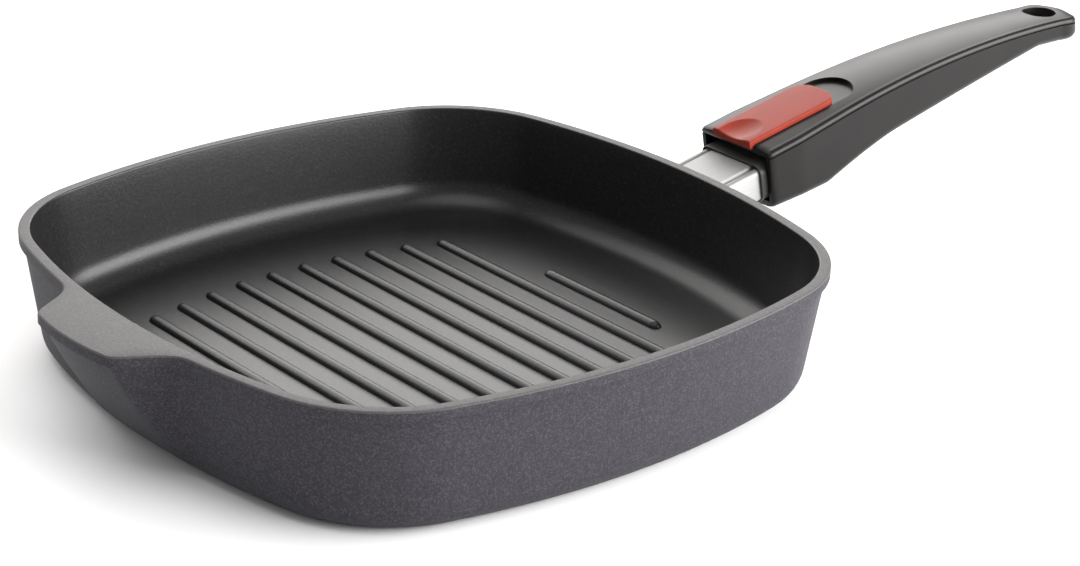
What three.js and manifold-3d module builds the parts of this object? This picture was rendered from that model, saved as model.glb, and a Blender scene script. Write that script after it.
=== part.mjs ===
// Square cast grill pan with a detachable handle, in millimetres, +Z up.
// The origin is the centre of the flat base, and the handle points along +X.

import * as THREE from 'three';
import { mergeVertices } from 'three/addons/utils/BufferGeometryUtils.js';
import Module from 'manifold-3d';

const wasm = await Module();
wasm.setup();

// Pan casting: a square with bowed sides, leaning walls and a flat rim
const PAN_WIDTH = 280;
const PAN_HEIGHT = 53;
const SIDE_BOW_RADIUS = 345;
const RIM_CORNER_RADIUS = 60.7;
const BASE_CORNER_GAIN = 5.7;
const RIM_WIDTH = 4.8;
const RIM_BAND = 4.2;
const RIM_OVERHANG = 2;
const RIM_EDGE = 0.7;
const WALL_SLOPE = THREE.MathUtils.degToRad(7.6);
const BASE_FILLET = 11.5;
const FLOOR_THICKNESS = 10;
const FLOOR_FILLET = 13;

// Grill ribs: long bars whose ends lie on an arc, and one short bar
const RIB_COUNT = 10;
const RIB_PITCH = 16;
const RIB_FIRST_X = -77;
const RIB_WIDTH = 4.8;
const RIB_HEIGHT = 2.8;
const RIB_RUN_OUT = 5;
const RIB_HALF_LENGTH = 88.6;
const RIB_ARC_RADIUS = 225;
const RIB_ARC_X = -8;
const SHORT_RIB_LENGTH = 72;
const SHORT_RIB_Y = -13;

// Front lip: a flat grip level with the rim, on a web that runs out at the base
const LIP_REACH = 22.4;
const LIP_FLAT_HALF = 20;
const LIP_ROOT_HALF = 42.5;
const LIP_TIP_BOW = 1.5;
const LIP_UNDERCUT = 0.9;
const LIP_WEB_FOOT = 4;
const LIP_WEB_CURVE = 1.7;

// Tang: a steel box section on a cast lug, tilted up with the handle's front
const TANG_TILT = THREE.MathUtils.degToRad(11.5);
const TANG_BELOW_RIM = 15;
const TANG_WIDTH = 34.4;
const TANG_HEIGHT = 15;
const TANG_SHEET = 1.5;
const TANG_END = 71;
const TANG_FLAT_WIDTH = 27.8;
const TANG_GROOVE = 1;
const TANG_TOP_SHEET = 2.4;
const TANG_SHOULDER_DROP = 0.6;
const TANG_CORNER = 1.6;
const LUG_LENGTH = 24;
const LUG_CLEARANCE = 0.3;
const TANG_SCREW_SPACING = 9;
const TANG_SCREW_FIRST = 10;

// Handle: a deep socket block that runs into a slim grip, bent down along an arc
const HANDLE_FRONT = 31.5;
const HANDLE_TIP = 240;
const HANDLE_TOP = 15.1;
const BEND_START = 78;
const BEND_RADIUS = 650;
const FRONT_HALF = 21.7;
const TAIL_HALF = 13.5;
const TAPER_START = 50;
const TAPER_END = 230;
const TAPER_CURVE = 1.5;
const FRONT_BOTTOM = -12.4;
const BELLY_BOTTOM = -15.6;
const BELLY_AT = 66;
const GRIP_BOTTOM = -10;
const GRIP_AT = 112;
const TAIL_DEPTH = 11.6;
const TIP_ROUND = 14;
const FRONT_ROUND = 1.6;
const TOP_EDGE_DROP = 2.6;
const TOP_EDGE_IN = 2.4;
const FRONT_CROWN = 1.7;
const TAIL_CROWN = 0.9;
const UNDER_EDGE = 4.6;
const COVER_EDGE = 2.8;
const SPLIT_GAP = 0.4;
const HANGING_HOLE = 15.2;
const HANGING_HOLE_FROM_TIP = 15;

// Socket liner: a sleeve that stands out of the handle's front as a collar
const LINER_WALL = 1;
const LINER_CLEARANCE = 0.35;
const LINER_END = 73;
const COLLAR_OUT = 3.3;
const LINER_CORNER = 3.4;
const SEAT_GAP = 0.3;

// Release slider: a thumb plate that slides back in a recess in the cover
const SLIDER_FRONT = 29.7;
const SLIDER_LENGTH = 53.5;
const SLIDER_WIDTH = 23.1;
const SLIDER_HEIGHT = 3.5;
const SLIDER_EDGE = 0.6;
const SLIDER_REAR_CORNER = 7.5;
const SLIDER_TRAVEL = 12;
const RECESS_DEPTH = 0.7;
const RECESS_SIDE_GAP = 0.45;
const RECESS_RUN = 15.5;
const DISH_RADIUS = 24;
const DISH_DEPTH = 1.6;
const DISH_STRETCH = 1.35;
const DISH_FROM_FRONT = 4.5;
const STEM_FRONT = 53;
const STEM_LENGTH = 12;
const STEM_WIDTH = 5.2;
const SLOT_GAP = 0.6;

// Carriage under the cover: two rails, a bridge, a lift bar and a spring plate
const CARRIAGE_WIDTH = 14;
const CARRIAGE_SHEET = 1.6;
const CARRIAGE_RAIL = 2;
const CARRIAGE_FRONT = 37.5;
const CARRIAGE_REAR = 78;
const LIFT_BAR = 1.5;
const LIFT_BAR_RISE = 1.45;
const SPRING_PLATE_DEPTH = 10;

// Latch: a sprung leaf on the liner with a hook in the tang's window
const LEAF_SHEET = 0.6;
const LEAF_WIDTH = 7;
const LEAF_TIP = 35;
const LEAF_TIP_FLAT = 6;
const LEAF_RAMP_END = 48;
const LEAF_TIP_RISE = 2;
const LEAF_REAR = 72;
const HOOK_FRONT = 54;
const HOOK_LENGTH = 3;
const HOOK_BITE = 1.2;
const WINDOW_GAP = 0.5;
const RIVET_SHANK = 1.6;
const RIVET_HEAD = 2.8;
const RIVET_HEAD_HEIGHT = 0.4;
const RIVET_AT = 69.5;
const RIVET_SPACING = 3.8;

// Return spring behind the carriage, on a steel pin
const SPRING_WIRE = 0.9;
const SPRING_DIAMETER = 6.4;
const SPRING_TURNS = 8;
const SPRING_LENGTH = 25.7;
const SPRING_HEIGHT = 6;
const PIN_DIAMETER = 3.2;
const PIN_LENGTH = 17;
const PIN_SEAT = 7;

// Screws: head diameter, head height and shank diameter of each kind
const COVER_SCREW = { head: 6.8, rise: 2.2, shank: 3.4 };
const COVER_SCREW_AT = [122, 188];
const COVER_BOSS = 7.4;
const COVER_BOSS_DEPTH = 4;
const COVER_SCREW_WEB = 4;
const LINER_SCREW = { head: 4.6, rise: 1.4, shank: 2.6 };
const LINER_SCREW_AT = 62;
const LINER_SCREW_SPACING = 18;
const LINER_SCREW_WEB = 1.4;
const SLIDER_SCREW = { head: 3.6, rise: 0.8, shank: 1.9 };
const SLIDER_SCREW_SPACING = 6;
const TANG_SCREW = { head: 7, rise: 1.4, shank: 4 };
const TANG_SCREW_GRIP = 8;
const SCREW_CLEARANCE = 0.3;

// Sizes that follow from the ones above
const PAN_HALF = PAN_WIDTH / 2;
const WALL_TOP = PAN_HEIGHT - RIM_BAND - RIM_OVERHANG;
const TANG_ROOT_Z = PAN_HEIGHT - TANG_BELOW_RIM;
const TANG_TOP = TANG_HEIGHT / 2;
const LINER_HALF = TANG_WIDTH / 2 + LINER_CLEARANCE + LINER_WALL;
const LINER_TOP = TANG_TOP + LINER_CLEARANCE + LINER_WALL;
const SPLIT_TOP = HANDLE_TOP - COVER_EDGE;
const RECESS_FLOOR = HANDLE_TOP - RECESS_DEPTH;
const RECESS_END = SLIDER_FRONT + SLIDER_LENGTH + RECESS_RUN;
const SLIDER_BOTTOM = RECESS_FLOOR + SEAT_GAP;
const SLIDER_TOP = SLIDER_BOTTOM + SLIDER_HEIGHT;
const CARRIAGE_TOP = SPLIT_TOP + SPLIT_GAP / 2 - SEAT_GAP - 0.15;
const CARRIAGE_BOTTOM = CARRIAGE_TOP - CARRIAGE_SHEET;
const LEAF_BOTTOM = LINER_TOP + SEAT_GAP;
const SPRING_FRONT = CARRIAGE_REAR + SEAT_GAP;
const SPRING_SEAT = SPRING_FRONT + SPRING_LENGTH + SEAT_GAP;

// Closed mesh to solid, and back
function solidOf(geometry) {
  const bare = geometry.index ? geometry.toNonIndexed() : geometry.clone();
  bare.deleteAttribute('normal');
  bare.deleteAttribute('uv');
  const merged = mergeVertices(bare, 1e-4);
  const vertProperties = new Float32Array(merged.attributes.position.array);
  const triVerts = new Uint32Array(merged.index.array);
  return new wasm.Manifold(new wasm.Mesh({ numProp: 3, vertProperties, triVerts }));
}

function geometryOf(solid) {
  const mesh = solid.getMesh();
  const geometry = new THREE.BufferGeometry();
  geometry.setAttribute('position', new THREE.BufferAttribute(mesh.vertProperties, 3));
  geometry.setIndex(new THREE.BufferAttribute(mesh.triVerts, 1));
  geometry.computeVertexNormals();
  return geometry;
}

// Loft through closed rings of equal count, with flat ends; flat(p) gives a ring point in its own plane
function loft(rings, flat) {
  const count = rings[0].length;
  const positions = [];
  const push = (...corners) => corners.forEach((p) => positions.push(p.x, p.y, p.z));
  for (let i = 0; i + 1 < rings.length; i += 1) {
    for (let j = 0; j < count; j += 1) {
      const k = (j + 1) % count;
      push(rings[i][j], rings[i][k], rings[i + 1][k]);
      push(rings[i][j], rings[i + 1][k], rings[i + 1][j]);
    }
  }
  const cap = (ring, turn) => {
    const outline = ring.map(flat);
    THREE.ShapeUtils.triangulateShape(outline, []).forEach(([a, b, c]) => {
      const left = THREE.ShapeUtils.area([outline[a], outline[b], outline[c]]) > 0;
      if (left === turn) push(ring[a], ring[b], ring[c]);
      else push(ring[a], ring[c], ring[b]);
    });
  };
  cap(rings[0], false);
  cap(rings[rings.length - 1], true);
  const geometry = new THREE.BufferGeometry();
  geometry.setAttribute('position', new THREE.Float32BufferAttribute(positions, 3));
  return geometry;
}

const alongZ = (p) => new THREE.Vector2(p.x, p.y);
const alongX = (p) => new THREE.Vector2(p.y, p.z);
const loftUp = (rings) => solidOf(loft(rings, alongZ));
const loftBack = (rings) => solidOf(loft(rings, alongX));

// Box between two corners
function block(x0, x1, y0, y1, z0, z1) {
  const geometry = new THREE.BoxGeometry(x1 - x0, y1 - y0, z1 - z0);
  return solidOf(geometry.translate((x0 + x1) / 2, (y0 + y1) / 2, (z0 + z1) / 2));
}

// Upright round bar at a place, from one height to another
function bar(diameter, x, y, z0, z1, sides = 20) {
  const geometry = new THREE.CylinderGeometry(diameter / 2, diameter / 2, z1 - z0, sides);
  return solidOf(geometry.rotateX(Math.PI / 2).translate(x, y, (z0 + z1) / 2));
}

// Plan outline raised between two heights
function raise(outline, z0, z1) {
  const options = { depth: z1 - z0, bevelEnabled: false, curveSegments: 12 };
  return solidOf(new THREE.ExtrudeGeometry(outline, options).translate(0, 0, z0));
}

const range = (count) => Array.from({ length: count }, (_, i) => i);
const mix = THREE.MathUtils.lerp;
const clamp01 = (t) => THREE.MathUtils.clamp(t, 0, 1);

// Pan outline at a height, set in from the rim: four bowed sides and four corner arcs
const SIDE_STEPS = 8;
const CORNER_STEPS = 8;

function panRing(inset, z) {
  const half = PAN_HALF - inset;
  const bow = SIDE_BOW_RADIUS - inset;
  const corner = RIM_CORNER_RADIUS - inset + BASE_CORNER_GAIN * (1 - z / PAN_HEIGHT);
  const behind = bow - half;
  const centre = (Math.sqrt(2 * (bow - corner) ** 2 - behind ** 2) - behind) / 2;
  const swing = Math.atan2(centre, centre + behind);
  const quarter = [];
  range(SIDE_STEPS).forEach((j) => {
    const angle = swing * (2 * j / SIDE_STEPS - 1);
    quarter.push([bow * Math.cos(angle) - behind, bow * Math.sin(angle)]);
  });
  range(CORNER_STEPS).forEach((j) => {
    const angle = swing + (Math.PI / 2 - 2 * swing) * j / CORNER_STEPS;
    quarter.push([centre + corner * Math.cos(angle), centre + corner * Math.sin(angle)]);
  });
  const turned = [([x, y]) => [x, y], ([x, y]) => [-y, x], ([x, y]) => [-x, -y], ([x, y]) => [y, -x]];
  return turned.flatMap((turn) => quarter.map(turn)).map(([x, y]) => new THREE.Vector3(x, y, z));
}

const wallInset = (z) => RIM_OVERHANG + (WALL_TOP - z) * Math.tan(WALL_SLOPE);
const cavityInset = (z) => RIM_WIDTH + (PAN_HEIGHT - z) * Math.tan(WALL_SLOPE);

// Arc between the wall and a level floor, as [inset, height] pairs from the floor up
function footArc(inset, floor, radius, steps) {
  const sweep = Math.PI / 2 - WALL_SLOPE;
  const centre = inset + radius * Math.tan(sweep / 2);
  return range(steps + 1).map((i) => {
    const angle = -Math.PI / 2 + sweep * i / steps;
    return [centre - radius * Math.cos(angle), floor + radius + radius * Math.sin(angle)];
  });
}

// Outside of the pan, grown by a clearance where another piece is cut to it
function panOutside(clearance) {
  const profile = footArc(wallInset(0), 0, BASE_FILLET, 6);
  range(4).forEach((i) => {
    const angle = i / 3 * Math.PI / 2;
    profile.push([RIM_OVERHANG * Math.cos(angle), WALL_TOP + RIM_OVERHANG * Math.sin(angle)]);
  });
  profile.push([0, PAN_HEIGHT - RIM_EDGE], [RIM_EDGE * 0.3, PAN_HEIGHT - RIM_EDGE * 0.3]);
  profile.push([RIM_EDGE, PAN_HEIGHT]);
  return loftUp(profile.map(([inset, z]) => panRing(inset - clearance, z)));
}

// Space inside the pan, open past the rim
function panCavity() {
  const profile = footArc(cavityInset(FLOOR_THICKNESS), FLOOR_THICKNESS, FLOOR_FILLET, 6);
  profile.push([RIM_WIDTH, PAN_HEIGHT - RIM_EDGE], [RIM_WIDTH - RIM_EDGE, PAN_HEIGHT]);
  profile.push([RIM_WIDTH - RIM_EDGE, PAN_HEIGHT + RIM_BAND]);
  return loftUp(profile.map(([inset, z]) => panRing(inset, z)));
}

// Half-round rib along Y, with ends that run out into the floor
function rib(x, y0, y1) {
  const sunk = 1;
  const ends = [[y0, 0.12], [y0 + RIB_RUN_OUT * 0.3, 0.7], [y0 + RIB_RUN_OUT, 1]];
  ends.push([y1 - RIB_RUN_OUT, 1], [y1 - RIB_RUN_OUT * 0.3, 0.7], [y1, 0.12]);
  const rings = ends.map(([y, share]) => {
    const top = range(9).map((i) => {
      const angle = i / 8 * Math.PI;
      const across = RIB_WIDTH / 2 * (0.55 + 0.45 * share) * Math.cos(angle);
      const up = FLOOR_THICKNESS + RIB_HEIGHT * share * Math.sin(angle);
      return new THREE.Vector3(x + across, y, up);
    });
    const under = [top[8], top[0]].map((p) => new THREE.Vector3(p.x, y, FLOOR_THICKNESS - sunk));
    return [...top, ...under].reverse();
  });
  return solidOf(loft(rings, (p) => new THREE.Vector2(p.z, p.x)));
}

function grillRibs() {
  const ribs = range(RIB_COUNT).map((i) => {
    const x = RIB_FIRST_X + RIB_PITCH * i;
    const half = RIB_HALF_LENGTH - (x - RIB_ARC_X) ** 2 / (2 * RIB_ARC_RADIUS);
    return rib(x, -half, half);
  });
  const shortX = RIB_FIRST_X + RIB_PITCH * RIB_COUNT;
  ribs.push(rib(shortX, SHORT_RIB_Y - SHORT_RIB_LENGTH / 2, SHORT_RIB_Y + SHORT_RIB_LENGTH / 2));
  return ribs;
}

// Front lip, level by level: full reach at its edge band, then a web that falls back to the wall
function frontLip() {
  const bandBottom = PAN_HEIGHT - RIM_BAND;
  const levels = [[PAN_HEIGHT, LIP_REACH - RIM_EDGE], [PAN_HEIGHT - RIM_EDGE, LIP_REACH]];
  levels.push([bandBottom, LIP_REACH], [bandBottom - LIP_UNDERCUT, LIP_REACH - LIP_UNDERCUT]);
  const webTop = bandBottom - LIP_UNDERCUT;
  range(8).slice(1).forEach((i) => {
    const fall = i / 7;
    const z = mix(webTop, LIP_WEB_FOOT, fall);
    levels.push([z, (LIP_REACH - LIP_UNDERCUT) * (1 - fall ** LIP_WEB_CURVE)]);
  });
  const steps = 26;
  const rings = levels.reverse().map(([z, reach]) => {
    const wall = z > WALL_TOP ? 0 : Math.max(wallInset(Math.max(z, BASE_FILLET)), 0);
    const edge = range(steps + 1).map((i) => {
      const y = LIP_ROOT_HALF * (1 - 2 * i / steps);
      const sag = y * y / (2 * SIDE_BOW_RADIUS);
      const fall = THREE.MathUtils.smoothstep(Math.abs(y), LIP_FLAT_HALF, LIP_ROOT_HALF);
      const bow = LIP_TIP_BOW * Math.min((y / LIP_FLAT_HALF) ** 2, 1) * reach / LIP_REACH;
      const out = PAN_HALF - wall - sag - RIM_EDGE + (reach - bow) * (1 - fall);
      return new THREE.Vector3(-out, y, z);
    });
    const inside = -(PAN_HALF - RIM_WIDTH / 2 - BASE_FILLET - wall);
    const back = [new THREE.Vector3(inside, -LIP_ROOT_HALF, z), new THREE.Vector3(inside, LIP_ROOT_HALF, z)];
    return [...edge, ...back];
  });
  return loftUp(rings);
}

// Frame of the tang and handle: X runs back along the tang, from the pan's rear side
const tangFrame = new THREE.Group();
tangFrame.position.set(PAN_HALF, 0, TANG_ROOT_Z);
tangFrame.rotation.y = -TANG_TILT;
tangFrame.updateMatrix();

function screwHole(kind, x, y, z0, z1) {
  return bar(kind.shank + 2 * SCREW_CLEARANCE, x, y, z0, z1);
}

const tangScrewsAt = range(2).map((i) => TANG_SCREW_FIRST + TANG_SCREW_SPACING * i);

// Cast lug inside the tang, bored for the tang's screws
function castLug() {
  const half = TANG_WIDTH / 2 - TANG_SHEET - LUG_CLEARANCE;
  const top = TANG_TOP - TANG_TOP_SHEET - LUG_CLEARANCE;
  const bottom = -TANG_TOP + TANG_SHEET + LUG_CLEARANCE;
  let lug = block(-TANG_HEIGHT, LUG_LENGTH, -half, half, bottom, top);
  tangScrewsAt.forEach((x) => {
    const end = -TANG_TOP + TANG_SCREW_GRIP + SCREW_CLEARANCE;
    lug = lug.subtract(screwHole(TANG_SCREW, x, 0, -TANG_HEIGHT, end));
  });
  return solidOf(geometryOf(lug).applyMatrix4(tangFrame.matrix));
}

function panBody() {
  const cavity = panCavity();
  let pan = panOutside(0).add(frontLip()).add(castLug()).subtract(cavity);
  grillRibs().forEach((one) => { pan = pan.add(one); });
  return pan;
}

// Tang: pressed box section with a groove and a rounded shoulder along each upper edge
function tangSleeve() {
  const half = TANG_WIDTH / 2;
  const flat = TANG_FLAT_WIDTH / 2;
  const bead = (half - flat - TANG_GROOVE) / 2;
  const beadZ = TANG_TOP - TANG_SHOULDER_DROP - bead;
  const beadSweep = 5 * Math.PI / 6;
  const grooveZ = beadZ + bead * Math.sin(beadSweep);
  const outline = new THREE.Shape();
  outline.moveTo(-half + TANG_CORNER, -TANG_TOP);
  outline.lineTo(half - TANG_CORNER, -TANG_TOP);
  outline.absarc(half - TANG_CORNER, -TANG_TOP + TANG_CORNER, TANG_CORNER, -Math.PI / 2, 0, false);
  outline.lineTo(half, beadZ);
  outline.absarc(half - bead, beadZ, bead, 0, beadSweep, false);
  outline.lineTo(flat + TANG_GROOVE * 0.4, grooveZ);
  outline.lineTo(flat, TANG_TOP);
  outline.lineTo(-flat, TANG_TOP);
  outline.lineTo(-flat - TANG_GROOVE * 0.4, grooveZ);
  outline.absarc(-half + bead, beadZ, bead, Math.PI - beadSweep, Math.PI, false);
  outline.lineTo(-half, -TANG_TOP + TANG_CORNER);
  outline.absarc(-half + TANG_CORNER, -TANG_TOP + TANG_CORNER, TANG_CORNER, Math.PI, 1.5 * Math.PI, false);
  const inner = TANG_SHEET;
  let sleeve = extrudeBack(outline, -TANG_HEIGHT, TANG_END);
  sleeve = sleeve.subtract(block(-2 * TANG_HEIGHT, TANG_END + inner, -half + inner, half - inner,
    -TANG_TOP + inner, TANG_TOP - TANG_TOP_SHEET));
  sleeve = sleeve.subtract(hookWindow(0, TANG_TOP + inner));
  tangScrewsAt.forEach((x) => {
    sleeve = sleeve.subtract(countersink(TANG_SCREW, x, 0, -TANG_TOP));
  });
  const wall = geometryOf(panOutside(LUG_CLEARANCE)).applyMatrix4(tangFrame.matrix.clone().invert());
  return sleeve.subtract(solidOf(wall));
}

// Section in the YZ plane run back along X
function extrudeBack(outline, x0, x1) {
  const options = { depth: x1 - x0, bevelEnabled: false, curveSegments: 6 };
  const geometry = new THREE.ExtrudeGeometry(outline, options);
  const axes = new THREE.Matrix4().makeBasis(
    new THREE.Vector3(0, 1, 0), new THREE.Vector3(0, 0, 1), new THREE.Vector3(1, 0, 0));
  return solidOf(geometry.applyMatrix4(axes).translate(x0, 0, 0));
}

function hookWindow(z0, z1) {
  const half = LEAF_WIDTH / 2 + WINDOW_GAP;
  return block(HOOK_FRONT - WINDOW_GAP, HOOK_FRONT + HOOK_LENGTH + WINDOW_GAP, -half, half, z0, z1);
}

// Flat-headed screw driven up from below, with its head's face at a height
function flatScrew(kind, x, y, face, grip) {
  const profile = [[0, 0], [kind.head / 2, 0], [kind.head / 2, kind.rise * 0.25]];
  profile.push([kind.shank / 2, kind.rise], [kind.shank / 2, grip - kind.shank * 0.2]);
  profile.push([kind.shank * 0.35, grip], [0, grip]);
  return lathe(profile, x, y, face);
}

function countersink(kind, x, y, face) {
  const open = SCREW_CLEARANCE;
  const profile = [[0, -kind.rise], [kind.head / 2 + open, -kind.rise]];
  profile.push([kind.head / 2 + open, kind.rise * 0.25 + open], [kind.shank / 2 + open, kind.rise + open]);
  profile.push([kind.shank / 2 + open, kind.head], [0, kind.head]);
  return lathe(profile, x, y, face);
}

// Round-headed screw driven up from below, with its head's seat at a height
function roundScrew(kind, x, y, seat, grip) {
  const profile = [[0, -kind.rise], [kind.head * 0.28, -kind.rise], [kind.head * 0.44, -kind.rise * 0.7]];
  profile.push([kind.head / 2, -kind.rise * 0.3], [kind.head / 2, 0], [kind.shank / 2, 0]);
  profile.push([kind.shank / 2, grip - kind.shank * 0.2], [kind.shank * 0.35, grip], [0, grip]);
  return lathe(profile, x, y, seat);
}

// Profile of [radius, height] pairs turned about an upright axis
function lathe(profile, x, y, z) {
  const points = profile.map(([r, h]) => new THREE.Vector2(r, h));
  return solidOf(new THREE.LatheGeometry(points, 16).rotateX(Math.PI / 2).translate(x, y, z));
}

// Side view of the handle: top and bottom heights and half-width along its length
const topAt = (x) => HANDLE_TOP - Math.max(0, x - BEND_START) ** 2 / (2 * BEND_RADIUS);
const splitAt = (x) => topAt(x) - COVER_EDGE;

function bottomAt(x) {
  if (x < BELLY_AT) return mix(FRONT_BOTTOM, BELLY_BOTTOM, (x - HANDLE_FRONT) / (BELLY_AT - HANDLE_FRONT));
  const rise = 1 - (1 - clamp01((x - BELLY_AT) / (GRIP_AT - BELLY_AT))) ** 1.5;
  return Math.min(mix(BELLY_BOTTOM, GRIP_BOTTOM, rise), topAt(x) - TAIL_DEPTH);
}

function halfAt(x) {
  const along = clamp01((x - TAPER_START) / (TAPER_END - TAPER_START));
  return TAIL_HALF + (FRONT_HALF - TAIL_HALF) * (1 - along) ** TAPER_CURVE;
}

// Section of the handle: crowned top, rounded upper edges, flat sides and rounded under edges
function handleSection(x) {
  const nose = FRONT_ROUND * (1 - Math.sqrt(clamp01((x - HANDLE_FRONT) / FRONT_ROUND)));
  const end = clamp01((x - (HANDLE_TIP - TIP_ROUND)) / TIP_ROUND);
  const half = halfAt(x) * (1 - end ** 2.6) ** (1 / 2.6) - nose * 0.6 + end * 2;
  const squeeze = 3 * end ** 4 + nose * 0.4;
  const top = topAt(x) - squeeze;
  const bottom = bottomAt(x) + squeeze;
  const edgeIn = Math.min(TOP_EDGE_IN, half * 0.5);
  const under = Math.min(UNDER_EDGE, half * 0.5);
  const crown = mix(FRONT_CROWN, TAIL_CROWN, clamp01((x - BEND_START) / (HANDLE_TIP - BEND_START)));
  const flat = half - edgeIn;
  const side = [[half - under, bottom], [half - under * 0.5, bottom + under * 0.13]];
  side.push([half - under * 0.13, bottom + under * 0.5], [half, bottom + under]);
  side.push([half, top - TOP_EDGE_DROP], [half - edgeIn * 0.13, top - TOP_EDGE_DROP * 0.5]);
  side.push([half - edgeIn * 0.5, top - TOP_EDGE_DROP * 0.13]);
  range(4).forEach((i) => {
    const share = 1 - i / 4;
    side.push([flat * share, top + crown * (1 - share * share)]);
  });
  const right = [[0, bottom], ...side, [0, top + crown]];
  const left = [...side].reverse().map(([y, z]) => [-y, z]);
  return [...right, ...left].map(([y, z]) => new THREE.Vector3(x, y, z));
}

function handleStations() {
  const nose = [0, 0.3, 1].map((share) => HANDLE_FRONT + FRONT_ROUND * share);
  const tail = [0.25, 0.5, 0.7, 0.84, 0.94, 1].map((share) => HANDLE_TIP - TIP_ROUND * (1 - share));
  const first = nose[nose.length - 1];
  const last = HANDLE_TIP - TIP_ROUND;
  const steps = 18;
  const middle = range(steps).map((i) => mix(first, last, (i + 1) / steps));
  return [...nose, ...middle, ...tail];
}

// Everything above or below the line that parts the cover from the grip
function partedSpace(offset, far) {
  const wide = 2 * FRONT_HALF;
  const ends = [HANDLE_FRONT - FRONT_HALF, ...handleStations(), HANDLE_TIP + FRONT_HALF];
  return loftBack(ends.map((x) => {
    const near = splitAt(x) + offset;
    const low = Math.min(near, far);
    const high = Math.max(near, far);
    const corners = [[-wide, low], [wide, low], [wide, high], [-wide, high]];
    return corners.map(([y, z]) => new THREE.Vector3(x, y, z));
  }));
}

const handleOutside = loftBack(handleStations().map(handleSection));
const farUp = 3 * FRONT_HALF;

// Upright hole near the tip for hanging the pan
function hangingHole() {
  const x = HANDLE_TIP - HANGING_HOLE_FROM_TIP;
  const radius = HANGING_HOLE / 2;
  const geometry = new THREE.CylinderGeometry(radius, radius, 4 * TAIL_DEPTH, 28).rotateX(Math.PI / 2);
  return solidOf(geometry.rotateY(TANG_TILT).translate(x, 0, topAt(x)));
}

const recessHalf = SLIDER_WIDTH / 2 + RECESS_SIDE_GAP;

// Plan of the recess: open at the handle's front, round at the rear
function recessPlan() {
  const plan = new THREE.Shape();
  plan.moveTo(HANDLE_FRONT - SLIDER_TRAVEL, -recessHalf);
  plan.lineTo(RECESS_END - recessHalf, -recessHalf);
  plan.absarc(RECESS_END - recessHalf, 0, recessHalf, -Math.PI / 2, Math.PI / 2, false);
  plan.lineTo(HANDLE_FRONT - SLIDER_TRAVEL, recessHalf);
  return plan;
}

function handleCover() {
  let cover = handleOutside.intersect(partedSpace(SPLIT_GAP / 2, farUp));
  COVER_SCREW_AT.forEach((x) => {
    const foot = splitAt(x) - COVER_BOSS_DEPTH;
    cover = cover.add(bar(COVER_BOSS, x, 0, foot, splitAt(x) + COVER_EDGE * 0.7));
    cover = cover.subtract(screwHole(COVER_SCREW, x, 0, foot - COVER_EDGE, splitAt(x) + COVER_EDGE * 0.5));
  });
  const slotHalf = STEM_WIDTH / 2 + SLOT_GAP;
  const slotEnd = STEM_FRONT + STEM_LENGTH + SLIDER_TRAVEL + SLOT_GAP;
  cover = cover.subtract(raise(recessPlan(), RECESS_FLOOR, farUp));
  cover = cover.subtract(block(STEM_FRONT - SLOT_GAP, slotEnd, -slotHalf, slotHalf, 0, farUp));
  return cover.subtract(hangingHole());
}

const linerScrewsY = [-LINER_SCREW_SPACING / 2, LINER_SCREW_SPACING / 2];
const linerScrewSeat = -LINER_TOP - SEAT_GAP - LINER_SCREW_WEB;
const coverScrewSeat = (x) => splitAt(x) - COVER_BOSS_DEPTH - SPLIT_GAP - COVER_SCREW_WEB;

function handleGrip() {
  let grip = handleOutside.intersect(partedSpace(-SPLIT_GAP / 2, -farUp));
  const half = LINER_HALF + SEAT_GAP;
  const floor = -LINER_TOP - SEAT_GAP;
  grip = grip.subtract(block(HANDLE_FRONT - half, LINER_END + SEAT_GAP, -half, half, floor, farUp));
  const bayHalf = CARRIAGE_WIDTH / 2 + SLOT_GAP;
  const bayFloor = CARRIAGE_TOP - SPRING_PLATE_DEPTH - SLOT_GAP;
  grip = grip.subtract(block(LINER_END, SPRING_SEAT, -bayHalf, bayHalf, bayFloor, farUp));
  grip = grip.subtract(pinAt(PIN_DIAMETER + 2 * SCREW_CLEARANCE, SPRING_SEAT + PIN_SEAT + SCREW_CLEARANCE));
  COVER_SCREW_AT.forEach((x) => {
    const seat = coverScrewSeat(x);
    const pocket = splitAt(x) - COVER_BOSS_DEPTH - SPLIT_GAP;
    grip = grip.subtract(bar(COVER_BOSS + 2 * SPLIT_GAP, x, 0, pocket, farUp));
    grip = grip.subtract(screwHole(COVER_SCREW, x, 0, seat - SCREW_CLEARANCE, farUp));
    const bore = COVER_SCREW.head + 2 * SCREW_CLEARANCE;
    grip = grip.subtract(bar(bore, x, 0, -farUp, seat));
  });
  linerScrewsY.forEach((y) => {
    grip = grip.subtract(screwHole(LINER_SCREW, LINER_SCREW_AT, y, linerScrewSeat - SCREW_CLEARANCE, 0));
    const bore = LINER_SCREW.head + 2 * SCREW_CLEARANCE;
    grip = grip.subtract(bar(bore, LINER_SCREW_AT, y, -farUp, linerScrewSeat));
  });
  return grip.subtract(hangingHole());
}

// Rounded box section of the liner, inside and outside
function roundedSection(half, top, corner) {
  const outline = new THREE.Shape();
  outline.moveTo(-half + corner, -top);
  outline.lineTo(half - corner, -top);
  outline.absarc(half - corner, -top + corner, corner, -Math.PI / 2, 0, false);
  outline.lineTo(half, top - corner);
  outline.absarc(half - corner, top - corner, corner, 0, Math.PI / 2, false);
  outline.lineTo(-half + corner, top);
  outline.absarc(-half + corner, top - corner, corner, Math.PI / 2, Math.PI, false);
  outline.lineTo(-half, -top + corner);
  outline.absarc(-half + corner, -top + corner, corner, Math.PI, 1.5 * Math.PI, false);
  return outline;
}

const rivetsY = [-RIVET_SPACING / 2, RIVET_SPACING / 2];

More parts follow.
